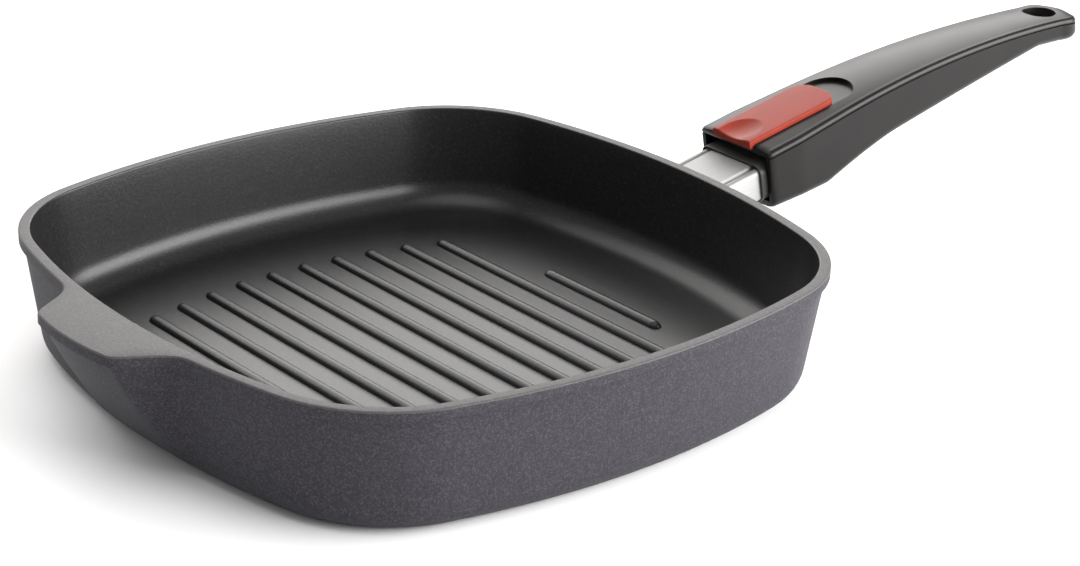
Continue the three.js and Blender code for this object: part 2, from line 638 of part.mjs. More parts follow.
function socketLiner() {
  const front = HANDLE_FRONT - COLLAR_OUT;
  const inside = roundedSection(LINER_HALF - LINER_WALL, LINER_TOP - LINER_WALL, TANG_CORNER * 0.6);
  let liner = extrudeBack(roundedSection(LINER_HALF, LINER_TOP, LINER_CORNER), front, LINER_END);
  liner = liner.subtract(extrudeBack(inside, front - LINER_WALL, LINER_END + LINER_WALL));
  liner = liner.subtract(hookWindow(0, LINER_TOP + LINER_WALL));
  rivetsY.forEach((y) => {
    liner = liner.subtract(bar(RIVET_SHANK + 2 * SCREW_CLEARANCE, RIVET_AT, y, 0, LINER_TOP + LINER_WALL));
  });
  linerScrewsY.forEach((y) => {
    liner = liner.subtract(screwHole(LINER_SCREW, LINER_SCREW_AT, y, -LINER_TOP - LINER_WALL, 0));
  });
  return liner;
}

// Plan ring of the slider at a height, drawn in by an edge round
function sliderRing(inset, z) {
  const half = SLIDER_WIDTH / 2 - inset;
  const front = SLIDER_FRONT + inset;
  const rear = SLIDER_FRONT + SLIDER_LENGTH - inset;
  const corner = SLIDER_REAR_CORNER - inset;
  const ring = [[front, half], [front, 0], [front, -half]];
  range(9).forEach((i) => {
    const angle = -Math.PI / 2 + Math.PI / 2 * i / 8;
    ring.push([rear - corner + corner * Math.cos(angle), -half + corner + corner * Math.sin(angle)]);
  });
  range(9).forEach((i) => {
    const angle = Math.PI / 2 * i / 8;
    ring.push([rear - corner + corner * Math.cos(angle), half - corner + corner * Math.sin(angle)]);
  });
  return ring.map(([x, y]) => new THREE.Vector3(x, y, z));
}

const sliderScrewsAt = range(2).map((i) => {
  return STEM_FRONT + STEM_LENGTH / 2 + SLIDER_SCREW_SPACING * (i - 0.5);
});
const sliderScrewGrip = SLIDER_BOTTOM - CARRIAGE_BOTTOM + SLIDER_HEIGHT * 0.5;

function releaseSlider() {
  const edge = SLIDER_EDGE;
  const levels = [[0, SLIDER_BOTTOM], [0, SLIDER_TOP - edge], [edge * 0.3, SLIDER_TOP - edge * 0.3]];
  levels.push([edge, SLIDER_TOP]);
  let slider = loftUp(levels.map(([inset, z]) => sliderRing(inset, z)));
  const dish = new THREE.SphereGeometry(DISH_RADIUS, 64, 48).scale(DISH_STRETCH, 1, 1);
  const dishX = SLIDER_FRONT + DISH_FROM_FRONT;
  slider = slider.subtract(solidOf(dish.translate(dishX, 0, SLIDER_TOP + DISH_RADIUS - DISH_DEPTH)));
  const half = STEM_WIDTH / 2;
  const stemFoot = CARRIAGE_TOP + SEAT_GAP;
  slider = slider.add(block(STEM_FRONT, STEM_FRONT + STEM_LENGTH, -half, half, stemFoot, SLIDER_BOTTOM + edge));
  sliderScrewsAt.forEach((x) => {
    const end = CARRIAGE_BOTTOM + sliderScrewGrip + SCREW_CLEARANCE;
    slider = slider.subtract(screwHole(SLIDER_SCREW, x, 0, 0, end));
  });
  return slider;
}

function sliderCarriage() {
  const half = CARRIAGE_WIDTH / 2;
  const inner = half - CARRIAGE_RAIL;
  const barFoot = LEAF_BOTTOM;
  const barEnd = CARRIAGE_FRONT + LIFT_BAR;
  let carriage = block(CARRIAGE_FRONT, CARRIAGE_REAR, -half, half, CARRIAGE_BOTTOM, CARRIAGE_TOP);
  const openFront = STEM_FRONT - SLOT_GAP;
  const openRear = STEM_FRONT + STEM_LENGTH + SLOT_GAP;
  carriage = carriage.subtract(block(0, openFront, -inner, inner, 0, farUp));
  const plateFront = CARRIAGE_REAR - CARRIAGE_SHEET;
  carriage = carriage.subtract(block(openRear, plateFront, -inner, inner, 0, farUp));
  [-1, 1].forEach((side) => {
    const y0 = side > 0 ? inner : -half;
    carriage = carriage.add(block(CARRIAGE_FRONT, barEnd, y0, y0 + CARRIAGE_RAIL, barFoot, CARRIAGE_TOP));
  });
  carriage = carriage.add(block(CARRIAGE_FRONT, barEnd, -half, half, barFoot, barFoot + LIFT_BAR_RISE));
  const plateFoot = CARRIAGE_TOP - SPRING_PLATE_DEPTH;
  carriage = carriage.add(block(plateFront, CARRIAGE_REAR, -half, half, plateFoot, CARRIAGE_TOP));
  sliderScrewsAt.forEach((x) => {
    carriage = carriage.subtract(countersink(SLIDER_SCREW, x, 0, CARRIAGE_BOTTOM));
  });
  return carriage;
}

// Latch leaf: raised tip, ramp, flat root and a hook bent down at the window
function latchLeaf() {
  const low = LEAF_BOTTOM;
  const high = LEAF_BOTTOM + LEAF_TIP_RISE;
  const side = new THREE.Shape();
  side.moveTo(LEAF_TIP, high);
  side.lineTo(LEAF_TIP + LEAF_TIP_FLAT, high);
  side.lineTo(LEAF_RAMP_END, low);
  side.lineTo(HOOK_FRONT, low);
  side.lineTo(HOOK_FRONT + HOOK_LENGTH * 0.3, TANG_TOP - HOOK_BITE);
  side.lineTo(HOOK_FRONT + HOOK_LENGTH, TANG_TOP - HOOK_BITE);
  side.lineTo(HOOK_FRONT + HOOK_LENGTH, low);
  side.lineTo(LEAF_REAR, low);
  side.lineTo(LEAF_REAR, low + LEAF_SHEET);
  side.lineTo(LEAF_RAMP_END, low + LEAF_SHEET);
  side.lineTo(LEAF_TIP + LEAF_TIP_FLAT, high + LEAF_SHEET);
  side.lineTo(LEAF_TIP, high + LEAF_SHEET);
  const options = { depth: LEAF_WIDTH, bevelEnabled: false };
  const geometry = new THREE.ExtrudeGeometry(side, options).rotateX(Math.PI / 2);
  let leaf = solidOf(geometry.translate(0, LEAF_WIDTH / 2, 0));
  rivetsY.forEach((y) => {
    leaf = leaf.subtract(bar(RIVET_SHANK + 2 * SCREW_CLEARANCE, RIVET_AT, y, 0, farUp));
  });
  return leaf;
}

function latchRivet(y) {
  const seat = LEAF_BOTTOM + LEAF_SHEET + SCREW_CLEARANCE * 0.5;
  const foot = LINER_TOP - LINER_WALL + SCREW_CLEARANCE * 0.5;
  const profile = [[0, foot - seat], [RIVET_SHANK / 2, foot - seat], [RIVET_SHANK / 2, 0]];
  profile.push([RIVET_HEAD / 2, 0], [RIVET_HEAD / 2, RIVET_HEAD_HEIGHT * 0.4]);
  profile.push([RIVET_HEAD * 0.3, RIVET_HEAD_HEIGHT], [0, RIVET_HEAD_HEIGHT]);
  return lathe(profile, RIVET_AT, y, seat);
}

// Helix of the return spring along X
class SpringLine extends THREE.Curve {
  getPoint(t, target = new THREE.Vector3()) {
    const radius = (SPRING_DIAMETER - SPRING_WIRE) / 2;
    const angle = t * SPRING_TURNS * 2 * Math.PI;
    const reach = SPRING_LENGTH - SPRING_WIRE;
    const x = SPRING_FRONT + SPRING_WIRE / 2 + reach * t;
    return target.set(x, radius * Math.cos(angle), SPRING_HEIGHT + radius * Math.sin(angle));
  }
}

function returnSpring() {
  const line = new SpringLine();
  const steps = SPRING_TURNS * 10;
  const section = new THREE.Shape();
  section.absarc(0, 0, SPRING_WIRE / 2, 0, 2 * Math.PI, false);
  const options = { steps, extrudePath: line, curveSegments: 3, bevelEnabled: false };
  const points = line.getPoints(steps);
  const perTurn = steps / SPRING_TURNS;
  let least = Infinity;
  points.forEach((p, i) => points.slice(i + perTurn / 2).forEach((q) => {
    least = Math.min(least, p.distanceTo(q) - SPRING_WIRE);
  }));
  console.log(`least gap between the spring's turns: ${least.toFixed(2)} mm`);
  return solidOf(new THREE.ExtrudeGeometry(section, options));
}

// Round bar along X inside the spring, ending at a given place
function pinAt(diameter, end) {
  const length = end - (SPRING_SEAT + PIN_SEAT - PIN_LENGTH);
  const geometry = new THREE.CylinderGeometry(diameter / 2, diameter / 2, length, 16).rotateZ(Math.PI / 2);
  return solidOf(geometry.translate(end - length / 2, 0, SPRING_HEIGHT));
}

// Finishes
const finish = (color, roughness, metalness) => new THREE.MeshStandardMaterial({ color, roughness, metalness });
const castCoat = finish(0x55545a, 0.55, 0.35);
const polishedSteel = finish(0xd8d8d6, 0.18, 1);
const springSteel = finish(0x9a9a98, 0.3, 1);
const blackGrip = finish(0x2b2929, 0.5, 0);
const linerCoat = finish(0x5c5e57, 0.55, 0.3);
const sliderRed = finish(0xb8302c, 0.45, 0);

const pan = new THREE.Group();
pan.name = 'square_grill_pan';
pan.add(tangFrame);

function place(parent, name, solid, material) {
  const mesh = new THREE.Mesh(geometryOf(solid), material);
  mesh.name = name;
  parent.add(mesh);
}

// Pan and tang
place(pan, 'pan_body', panBody(), castCoat);
place(tangFrame, 'tang_sleeve', tangSleeve(), polishedSteel);
['front', 'rear'].forEach((where, i) => {
  const screw = flatScrew(TANG_SCREW, tangScrewsAt[i], 0, -TANG_TOP, TANG_SCREW_GRIP);
  place(tangFrame, `tang_screw_${where}`, screw, polishedSteel);
});

// Handle
place(tangFrame, 'handle_grip', handleGrip(), blackGrip);
place(tangFrame, 'handle_cover', handleCover(), blackGrip);
place(tangFrame, 'socket_liner', socketLiner(), linerCoat);
['right', 'left'].forEach((where, i) => {
  const grip = -LINER_TOP + LINER_WALL * 0.8 - linerScrewSeat;
  const seat = linerScrewSeat - SCREW_CLEARANCE * 0.5;
  const screw = roundScrew(LINER_SCREW, LINER_SCREW_AT, linerScrewsY[i], seat, grip);
  place(tangFrame, `liner_screw_${where}`, screw, springSteel);
  place(tangFrame, `latch_rivet_${where}`, latchRivet(rivetsY[i]), springSteel);
});
['front', 'rear'].forEach((where, i) => {
  const x = COVER_SCREW_AT[i];
  const seat = coverScrewSeat(x) - SCREW_CLEARANCE * 0.5;
  const grip = splitAt(x) + COVER_EDGE * 0.4 - seat;
  place(tangFrame, `cover_screw_${where}`, roundScrew(COVER_SCREW, x, 0, seat, grip), springSteel);
});
place(tangFrame, 'latch_leaf', latchLeaf(), springSteel);
place(tangFrame, 'return_spring', returnSpring(), springSteel);
place(tangFrame, 'spring_pin', pinAt(PIN_DIAMETER, SPRING_SEAT + PIN_SEAT), springSteel);

// Release slider
place(tangFrame, 'release_slider', releaseSlider(), sliderRed);
place(tangFrame, 'slider_carriage', sliderCarriage(), springSteel);
['front', 'rear'].forEach((where, i) => {
  const screw = flatScrew(SLIDER_SCREW, sliderScrewsAt[i], 0, CARRIAGE_BOTTOM, sliderScrewGrip);
  place(tangFrame, `slider_screw_${where}`, screw, springSteel);
});

export default pan;
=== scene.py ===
"""Square cast grill pan with a detachable handle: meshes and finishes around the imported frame."""

import math

import bmesh
import bpy
from bpy.props import FloatProperty, FloatVectorProperty, IntProperty, PointerProperty
from bpy.types import Operator, Panel, PropertyGroup
from mathutils import Matrix, Vector


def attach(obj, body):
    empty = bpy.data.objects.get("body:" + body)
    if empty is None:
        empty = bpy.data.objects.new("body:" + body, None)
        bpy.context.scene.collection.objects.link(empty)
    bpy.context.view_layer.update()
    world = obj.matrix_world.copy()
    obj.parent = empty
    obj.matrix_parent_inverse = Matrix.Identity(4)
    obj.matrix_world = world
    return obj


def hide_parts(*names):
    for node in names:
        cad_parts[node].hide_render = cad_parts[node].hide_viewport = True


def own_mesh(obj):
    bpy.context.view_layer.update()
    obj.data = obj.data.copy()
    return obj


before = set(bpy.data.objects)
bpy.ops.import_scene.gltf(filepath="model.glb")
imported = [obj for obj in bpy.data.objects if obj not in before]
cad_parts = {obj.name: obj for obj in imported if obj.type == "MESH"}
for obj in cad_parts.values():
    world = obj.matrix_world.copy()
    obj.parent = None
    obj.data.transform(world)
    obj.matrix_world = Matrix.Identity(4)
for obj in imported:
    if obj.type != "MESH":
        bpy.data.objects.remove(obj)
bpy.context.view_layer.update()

bl_info = {
    "name": "Square grill pan",
    "version": (1, 0, 0),
    "blender": (4, 5, 0),
    "location": "View3D > Sidebar > Grill Pan",
    "description": "Builds a square grill pan with a detachable handle, piece by piece",
    "category": "Add Mesh",
}

MM = 0.001

# Cuts: how far a cutter passes the material, and how close points merge after it, in millimetres
CUT_ABOVE = 20.0
CUT_BELOW = -40.0
CUT_PAST = 8.0
MERGE_DISTANCE = 0.003

# Camera that saw the pan, in millimetres in the pan's own frame
CAMERA_PLACE = Vector((-631.24, -815.13, 468.64))
CAMERA_RIGHT = Vector((0.76968, -0.63778, 0.02899))
CAMERA_UP = Vector((0.22693, 0.31573, 0.92131))
CAMERA_FOCAL_PIXELS = 2821.72
FRAME_WIDTH_PIXELS = 1080
SENSOR_WIDTH = 36.0

# Bowl profile, in millimetres
WALL_SLOPE = math.radians(7.6)
BASE_CORNER_GAIN = 5.7
RIM_BAND = 4.2
RIM_OVERHANG = 2.0
RIM_EDGE = 0.7
BASE_FILLET = 11.5
FLOOR_FILLET = 13.0
LIP_FLAT_HALF = 23.0
LIP_ROOT_HALF = 51.0
LIP_ROOT_FILLET = 3.0
LIP_TIP_BOW = 1.5
LIP_UNDERCUT = 0.9
LIP_WEB_FOOT = 4.0
LIP_WEB_CURVE = 1.25

# Tang, liner and handle, in millimetres along the tang's own axis
TANG_TILT = math.radians(11.5)
TANG_BELOW_RIM = 15.0
TANG_HALF = 17.2
TANG_TOP = 7.5
TANG_FLAT_HALF = 12.3
TANG_GROOVE = 1.0
TANG_GROOVE_FOOT = 0.4
TANG_BEAD_SWEEP = 150
TANG_FLAT_EDGE = 0.35
TANG_FLAT_IN = 0.25
TANG_SHOULDER_DROP = 0.6
TANG_SHEET = 1.5
TANG_TOP_SHEET = 2.4
TANG_END = 71.0
TANG_END_EDGE = 0.3
TANG_END_NARROW = 0.98
TANG_END_THIN = 0.97
TANG_STATIONS = (20.0, 45.0)
WALL_BITE = 1.0
TANG_CORNER = 1.6
LUG_START = -3.5
LUG_END = 24.0
LUG_CLEARANCE = 0.3
LINER_HALF = 18.55
LINER_TOP = 8.85
LINER_WALL = 1.0
LINER_END = 73.0
LINER_CORNER = 4.6
LINER_BORE_CORNER = 2.2
COLLAR_OUT = 3.3
COLLAR_EDGE = 0.35
HANDLE_FRONT = 31.5
HANDLE_TIP = 240.0
HANDLE_TOP = 15.1
BEND_START = 78.0
BEND_RADIUS = 650.0
FRONT_HALF = 21.7
TAIL_HALF = 13.5
TAPER_START = 50.0
TAPER_END = 230.0
TAPER_CURVE = 1.5
FRONT_BOTTOM = -12.4
BELLY_BOTTOM = -15.6
BELLY_AT = 66.0
GRIP_BOTTOM = -10.0
GRIP_AT = 112.0
BELLY_CURVE = 1.5
TAIL_DEPTH = 11.6
TIP_ROUND = 14.0
TIP_CURVE = 2.6
TIP_HALF = 2.0
TIP_DROP_CURVE = 6
TIP_LIFT = 3.0
TIP_LIFT_CURVE = 4
FRONT_ROUND = 1.6
FRONT_ROUND_SIDE = 0.6
FRONT_ROUND_TOP = 0.4
TOP_EDGE_DROP = 2.6
TOP_EDGE_IN = 2.4
FRONT_CROWN = 1.7
TAIL_CROWN = 0.9
UNDER_EDGE = 4.6
COVER_EDGE = 2.8
SPLIT_GAP = 0.4
SPLIT_ROUND = 0.3
HOLE_RADIUS = 7.6
HOLE_FROM_TIP = 15.0
HOLE_LIP = 0.8
SEAT_GAP = 0.3

# Release slider and its recess, in millimetres
SLIDER_FRONT = 29.7
SLIDER_LENGTH = 53.5
SLIDER_HALF = 11.55
SLIDER_HEIGHT = 3.5
SLIDER_EDGE = 0.6
SLIDER_REAR_CORNER = 7.5
SLIDER_CROWN = 0.25
RECESS_DEPTH = 0.7
RECESS_HALF = 12.0
RECESS_END = 98.7
DISH_RADIUS = 24.0
DISH_DEPTH = 1.6
DISH_STRETCH = 1.35
DISH_FROM_FRONT = 4.5
STEM_FRONT = 53.0
STEM_END = 65.0
STEM_HALF = 2.6
STEM_FOOT = 12.35
STEM_ROOT = 0.2
SLOT_REAR = 77.6
SLOT_GAP = 0.6
HOOK_WINDOW = ((53.5, 57.5), (-4.0, 4.0), (0.0, 12.0))
RIVETS = ([(69.5, -1.9), (69.5, 1.9)], 1.1)
SPRING_BAY = ((72.5, 104.3), (-7.6, 7.6), (1.45, 20.0))
PIN_BAY = ((104.0, 111.6), (-1.9, 1.9), (4.1, 7.9))

# Latch leaf, in millimetres
LEAF_SHEET = 0.6
LEAF_HALF = 3.5
LEAF_TIP = 35.0
LEAF_TIP_FLAT = 6.0
LEAF_TIP_RISE = 2.0
LEAF_RAMP_END = 48.0
LEAF_REAR = 72.0
HOOK_FRONT = 54.0
HOOK_NOSE = 0.9
HOOK_LENGTH = 3.0
HOOK_BITE = 1.2

# Return spring, in millimetres
SPRING_FRONT = 78.3
SPRING_LENGTH = 25.7
SPRING_TURNS = 8
SPRING_WIRE = 0.9
SPRING_DIAMETER = 6.4
SPRING_HEIGHT = 6.0

# Screws seen from below: places, head radius and rise, in millimetres
TANG_SCREWS = ([(10.0, 0.0), (19.0, 0.0)], 3.5, 1.2)
COVER_SCREWS = ([(122.0, 0.0), (188.0, 0.0)], 3.4, 2.2)
LINER_SCREWS = ([(62.0, -9.0), (62.0, 9.0)], 2.3, 1.4)
COVER_BOSS_DEPTH = 4.0
COVER_SCREW_WEB = 4.0
LINER_SCREW_WEB = 1.4
SCREW_CLEARANCE = 0.3
SCREW_SHANK = 1.6
SCREW_STUB = 4.0

# Grill ribs: points along a rib, sides of its section and how full its ends stay
RIB_STEPS = 160
RIB_SIDES = 24
RIB_END_FULLNESS = 1.02

# Stage: softboxes as name, place, target, width and height in metres, watts and colour
SOFTBOXES = [
    ("back_softbox", (0.68, 1.8, 1.23), (0.05, 0, 0.03), 3.5, 1.5, 71, (1, 0.98, 0.965)),
    ("right_softbox", (1.25, -1.45, 0.68), (0.05, 0, 0.03), 2.4, 1.3, 112, (1, 1, 1)),
    ("top_softbox", (-0.3, -0.1, 1.9), (0.05, 0, 0), 1.4, 1.4, 12, (1, 1, 1)),
]
WORLD_STRENGTH = 0.44
FLOOR_REACH = 30.0
FLOOR_WHITE = (0.93, 0.93, 0.93)
FLOOR_ROUGHNESS = 0.9
CAMERA_FAR = 100


def length(name, description, default):
    """Property for a length in metres."""
    return FloatProperty(name=name, description=description, default=default, unit="LENGTH")


def paint(name, description, default):
    """Property for the colour of a finish."""
    return FloatVectorProperty(name=name, description=description, default=default, subtype="COLOR")


class PanSizes(PropertyGroup):
    """Sizes of the cast pan that a user would change"""
    width: length("Width", "Rim across the bowed sides", 0.28)
    height: length("Height", "Base to rim", 0.053)
    bow: length("Side bow", "Radius of each bowed side", 0.345)
    corner: length("Corner", "Corner radius at the rim", 0.0607)
    rim: length("Rim", "Width of the flat rim", 0.0048)
    floor: length("Floor", "Thickness of the base", 0.01)
    lip: length("Lip", "Reach of the front lip", 0.0224)
    rib_count: IntProperty(name="Ribs", description="Number of long ribs", default=10, min=1)
    rib_pitch: length("Rib pitch", "Spacing of the ribs", 0.016)
    rib_first: length("First rib", "Place of the first rib", -0.0762)
    rib_width: length("Rib width", "Width of a rib", 0.0056)
    rib_height: length("Rib height", "Height of a rib", 0.0023)
    rib_half: length("Rib half", "Half the longest rib", 0.0896)
    rib_arc: length("Rib arc", "Radius that the ribs end on", 0.225)
    rib_arc_x: length("Arc centre", "Middle of that arc", -0.008)
    rib_run_out: length("Run-out", "Length of a rib's round end", 0.004)
    short_rib: length("Short rib", "Length of the short rib", 0.072)
    short_rib_y: length("Short rib place", "Its middle", -0.013)


class PanColours(PropertyGroup):
    """Colours of the finishes"""
    outside: paint("Outside", "Sprayed coat", (0.034, 0.032, 0.038))
    # Rim: a lighter grey than the outside coat, as painted light on the flat rim and the lip's top edge,
    # which face up to the lamps
    rim: paint("Rim", "Coat on the flat rim", (0.07, 0.068, 0.068))
    inside: paint("Inside", "Non-stick coat", (0.008, 0.008, 0.008))
    grip: paint("Grip", "Phenolic handle", (0.007, 0.006, 0.0056))
    liner: paint("Liner", "Socket liner", (0.03, 0.032, 0.028))
    slider: paint("Slider", "Release slider", (0.235, 0.033, 0.02))
    steel: paint("Steel", "Tang and screws", (0.36, 0.357, 0.354))


# Node helpers

def add_node(tree, kind, inputs, output=0, **settings):
    """New node with its settings, and with its inputs linked or set; returns one of its outputs."""
    node = tree.nodes.new(kind)
    for key, value in settings.items():
        setattr(node, key, value)
    for key, value in inputs.items():
        if isinstance(value, bpy.types.NodeSocket):
            tree.links.new(value, node.inputs[key])
        else:
            node.inputs[key].default_value = value
    return node.outputs[output]


def shader(name, colour, roughness, metallic=0.0, gloss=0.5):
    """New material with a bare Principled shader; returns the material, its node tree and the shader."""
    material = bpy.data.materials.new(name)
    material.use_nodes = True
    bsdf = material.node_tree.nodes["Principled BSDF"]
    bsdf.inputs["Base Color"].default_value = (*colour, 1.0)
    bsdf.inputs["Roughness"].default_value = roughness
    bsdf.inputs["Metallic"].default_value = metallic
    bsdf.inputs["Specular IOR Level"].default_value = gloss
    return material, material.node_tree, bsdf


def own_place(tree, stretch=(1, 1, 1)):
    """The piece's own coordinates, stretched."""
    place = add_node(tree, "ShaderNodeTexCoord", {}, "Object")
    return add_node(tree, "ShaderNodeMapping", {"Vector": place, "Scale": stretch})


def noise(tree, scale, detail, stretch=(1, 1, 1)):
    """Noise on the piece's own coordinates."""
    inputs = {"Vector": own_place(tree, stretch), "Scale": scale, "Detail": detail}
    return add_node(tree, "ShaderNodeTexNoise", inputs)


def ramp(tree, source, stops):
    """Colour ramp through (position, colour) stops."""
    result = add_node(tree, "ShaderNodeValToRGB", {"Fac": source})
    elements = result.node.color_ramp.elements
    while len(elements) < len(stops):
        elements.new(1.0)
    for element, (position, colour) in zip(elements, stops):
        element.position = position
        element.color = (*colour, 1.0)
    return result


def bumps(tree, bsdf, height, strength, distance):
    """Fine relief on a shader's normal."""
    relief = add_node(tree, "ShaderNodeBump", {"Strength": strength, "Distance": distance, "Height": height})
    tree.links.new(relief, bsdf.inputs["Normal"])


def spread(tree, bsdf, source, low, high):
    """Roughness that wanders between two values."""
    roughness = add_node(tree, "ShaderNodeMapRange", {"Value": source, "To Min": low, "To Max": high})
    tree.links.new(roughness, bsdf.inputs["Roughness"])


def shade(colour, factor):
    """A colour made lighter or darker."""
    return tuple(min(1.0, channel * factor) for channel in colour)


def tint(tree, bsdf, source, colour, darker, lighter):
    """Base colour that wanders between a darker and a lighter shade."""
    shades = [(0.3, shade(colour, darker)), (0.7, shade(colour, lighter))]
    tree.links.new(ramp(tree, source, shades), bsdf.inputs["Base Color"])


# Finishes

def sprayed_coat(name, colour, roughness, gloss, fleck, share):
    """Sprayed stone-effect coat: a mottled ground with a share of light flecks and an orange-peel skin."""
    material, tree, bsdf = shader(name, colour, roughness, gloss=gloss)
    mottle = [(0.3, shade(colour, 0.85)), (0.5, colour), (0.7, shade(colour, 1.15))]
    ground = ramp(tree, noise(tree, 700, 6.0), mottle)
    cells = add_node(tree, "ShaderNodeTexVoronoi", {"Vector": own_place(tree), "Scale": 1900}, "Color")
    black, white = (0, 0, 0), (1, 1, 1)
    flecked = ramp(tree, cells, [(0.0, black), (1 - share, black), (1 - share * 0.6, white)])
    light = (*shade(colour, fleck), 1.0)
    mixed = add_node(tree, "ShaderNodeMix", {0: flecked, 6: ground, 7: light}, 2, data_type="RGBA")
    tree.links.new(mixed, bsdf.inputs["Base Color"])
    skin = noise(tree, 900, 3.0)
    spread(tree, bsdf, skin, roughness - 0.07, roughness + 0.07)
    bumps(tree, bsdf, skin, 0.12, 0.0004)
    return material


def moulded(name, colour, roughness, gloss, grain=1800, patches=60, change=0.15, relief=0.06):
    """Moulded plastic: satin, with a faint grain and slow changes of tint and gloss."""
    material, tree, bsdf = shader(name, colour, roughness, gloss=gloss)
    slow = noise(tree, patches, 3.0)
    tint(tree, bsdf, slow, colour, 1 - change, 1 + change)
    spread(tree, bsdf, slow, roughness - 0.03, roughness + 0.04)
    bumps(tree, bsdf, noise(tree, grain, 2.0), relief, 0.0002)
    return material


def drawn_steel(name, colour, roughness):
    """Steel with fine drawing lines along the tang."""
    material, tree, bsdf = shader(name, colour, roughness, metallic=1.0)
    lines = noise(tree, 1400, 2.0, stretch=(0.03, 1, 1))
    spread(tree, bsdf, lines, roughness - 0.05, roughness + 0.08)
    tint(tree, bsdf, lines, colour, 0.94, 1.05)
    bumps(tree, bsdf, lines, 0.03, 0.0001)
    return material


def red_plastic(name, colour):
    """Moulded red plastic with a soft satin skin."""
    return moulded(name, colour, 0.28, 0.07, grain=1600, patches=90, change=0.07, relief=0.05)


def finish(name):
    """The finish of that name, made once."""
    if name in bpy.data.materials:
        return bpy.data.materials[name]
    colours = bpy.context.scene.grill_pan_colours
    makers = {
        "outside_coat": lambda: sprayed_coat(name, colours.outside, 0.55, 0.12, fleck=1.7, share=0.4),
        # The rim's lighter grey is painted light on the upward-facing rim top; the coat itself is the
        # outside's
        "rim_coat": lambda: sprayed_coat(name, colours.rim, 0.5, 0.2, fleck=1.3, share=0.3),
        "inside_coat": lambda: sprayed_coat(name, colours.inside, 0.34, 0.37, fleck=2.5, share=0.25),
        "cover_black": lambda: moulded(name, colours.grip, 0.33, 0.22),
        # The grip's colour is the cover's phenolic at three quarters: painted shade on the grip's upright
        # sides, which catch less light than the cover's top
        "grip_black": lambda: moulded(name, shade(colours.grip, 0.75), 0.34, 0.18),
        "liner_satin": lambda: moulded(name, colours.liner, 0.4, 0.25),
        "thumb_red": lambda: red_plastic(name, colours.slider),
        "polished_steel": lambda: drawn_steel(name, colours.steel, 0.6),
        "plain_steel": lambda: drawn_steel(name, shade(colours.steel, 0.8), 0.34),
        "floor_white": lambda: shader(name, FLOOR_WHITE, FLOOR_ROUGHNESS)[0],
    }
    return makers[name]()


# Mesh helpers

def new_object(name, data):
    """Object in the scene from its data."""
    one = bpy.data.objects.new(name, data)
    bpy.context.scene.collection.objects.link(one)
    return one


def mesh_piece(name, points, faces, finishes, face_finish=None, sharp=30.0):
    """Object at the origin from points in metres, smooth apart from edges sharper than the angle."""
    mesh = bpy.data.meshes.new(name)
    mesh.from_pydata([tuple(p) for p in points], [], faces)
    for one in finishes:
        mesh.materials.append(finish(one))
    if face_finish is not None:
        mesh.polygons.foreach_set("material_index", face_finish)
    mesh.validate()
    mesh.shade_smooth()
    mesh.set_sharp_from_angle(angle=math.radians(sharp))
    return new_object(name, mesh)


def loft_faces(rings, looped=False):
    """Points and outward faces of a loft through equal rings, capped or looped to its first ring."""
    count = len(rings[0])
    points = [p for ring in rings for p in ring]
    total = len(points)
    faces = []
    for i in range(len(rings) if looped else len(rings) - 1):
        for j in range(count):
            k = (j + 1) % count
            near, far = i * count, (i + 1) * count
            faces.append((near + j, near + k, (far + k) % total, (far + j) % total))
    if not looped:
        faces.append(tuple(reversed(range(count))))
        faces.append(tuple(range(total - count, total)))
    volume = 0.0
    for face in faces:
        first = points[face[0]]
        for a, b in zip(face[1:], face[2:]):
            volume += first.dot(points[a].cross(points[b]))
    if volume < 0:
        faces = [tuple(reversed(face)) for face in faces]
    return points, faces


def on_tang(u, y, w):
    """Point in metres from millimetres along, across and above the tang's axis."""
    height = bpy.context.scene.grill_pan.height
    half = bpy.context.scene.grill_pan.width / 2
    x = half + (u * math.cos(TANG_TILT) - w * math.sin(TANG_TILT)) * MM
    z = height - TANG_BELOW_RIM * MM + (u * math.sin(TANG_TILT) + w * math.cos(TANG_TILT)) * MM
    return Vector((x, y * MM, z))


def tang_rings(section, places):
    """Rings of one section at places along the tang's axis."""
    return [[on_tang(u, y, w) for y, w in section] for u in places]


def box(along, across, above):
    """Rings of a box in the tang's frame, each side given by its two ends."""
    corners = [(across[0], above[0]), (across[1], above[0]), (across[1], above[1]), (across[0], above[1])]
    return tang_rings(corners, along)


def joined(first, second):
    """Points and faces of two lofts as one."""
    shift = len(first[0])
    moved = [tuple(index + shift for index in face) for face in second[1]]
    return first[0] + second[0], first[1] + moved


def loft_piece(name, rings, finishes, sharp=30.0, looped=False):
    """Object from a loft through rings."""
    return mesh_piece(name, *loft_faces(rings, looped), finishes, sharp=sharp)


def cutter(rings):
    """Closed solid to cut away."""
    return loft_piece("cutter", rings, ["grip_black"])


def evaluated(piece):
    """The piece with its modifiers turned into a plain mesh."""
    graph = bpy.context.evaluated_depsgraph_get()
    mesh = bpy.data.meshes.new_from_object(piece.evaluated_get(graph))
    piece.modifiers.clear()
    old = piece.data
    piece.data = mesh
    bpy.data.meshes.remove(old)
    return piece


def cut(piece, cutters, sharp=30.0):
    """Boolean cuts, with the points that they leave on top of each other merged."""
    for one in cutters:
        step = piece.modifiers.new("cut", "BOOLEAN")
        step.operation = "DIFFERENCE"
        step.solver = "EXACT"
        step.object = one
    evaluated(piece)
    for one in cutters:
        bpy.data.objects.remove(one)
    whole = bmesh.new()
    whole.from_mesh(piece.data)
    bmesh.ops.remove_doubles(whole, verts=whole.verts, dist=MERGE_DISTANCE * MM)
    bmesh.ops.dissolve_degenerate(whole, edges=whole.edges, dist=MERGE_DISTANCE * MM)
    whole.to_mesh(piece.data)
    whole.free()
    piece.data.shade_smooth()
    piece.data.set_sharp_from_angle(angle=math.radians(sharp))
    return piece


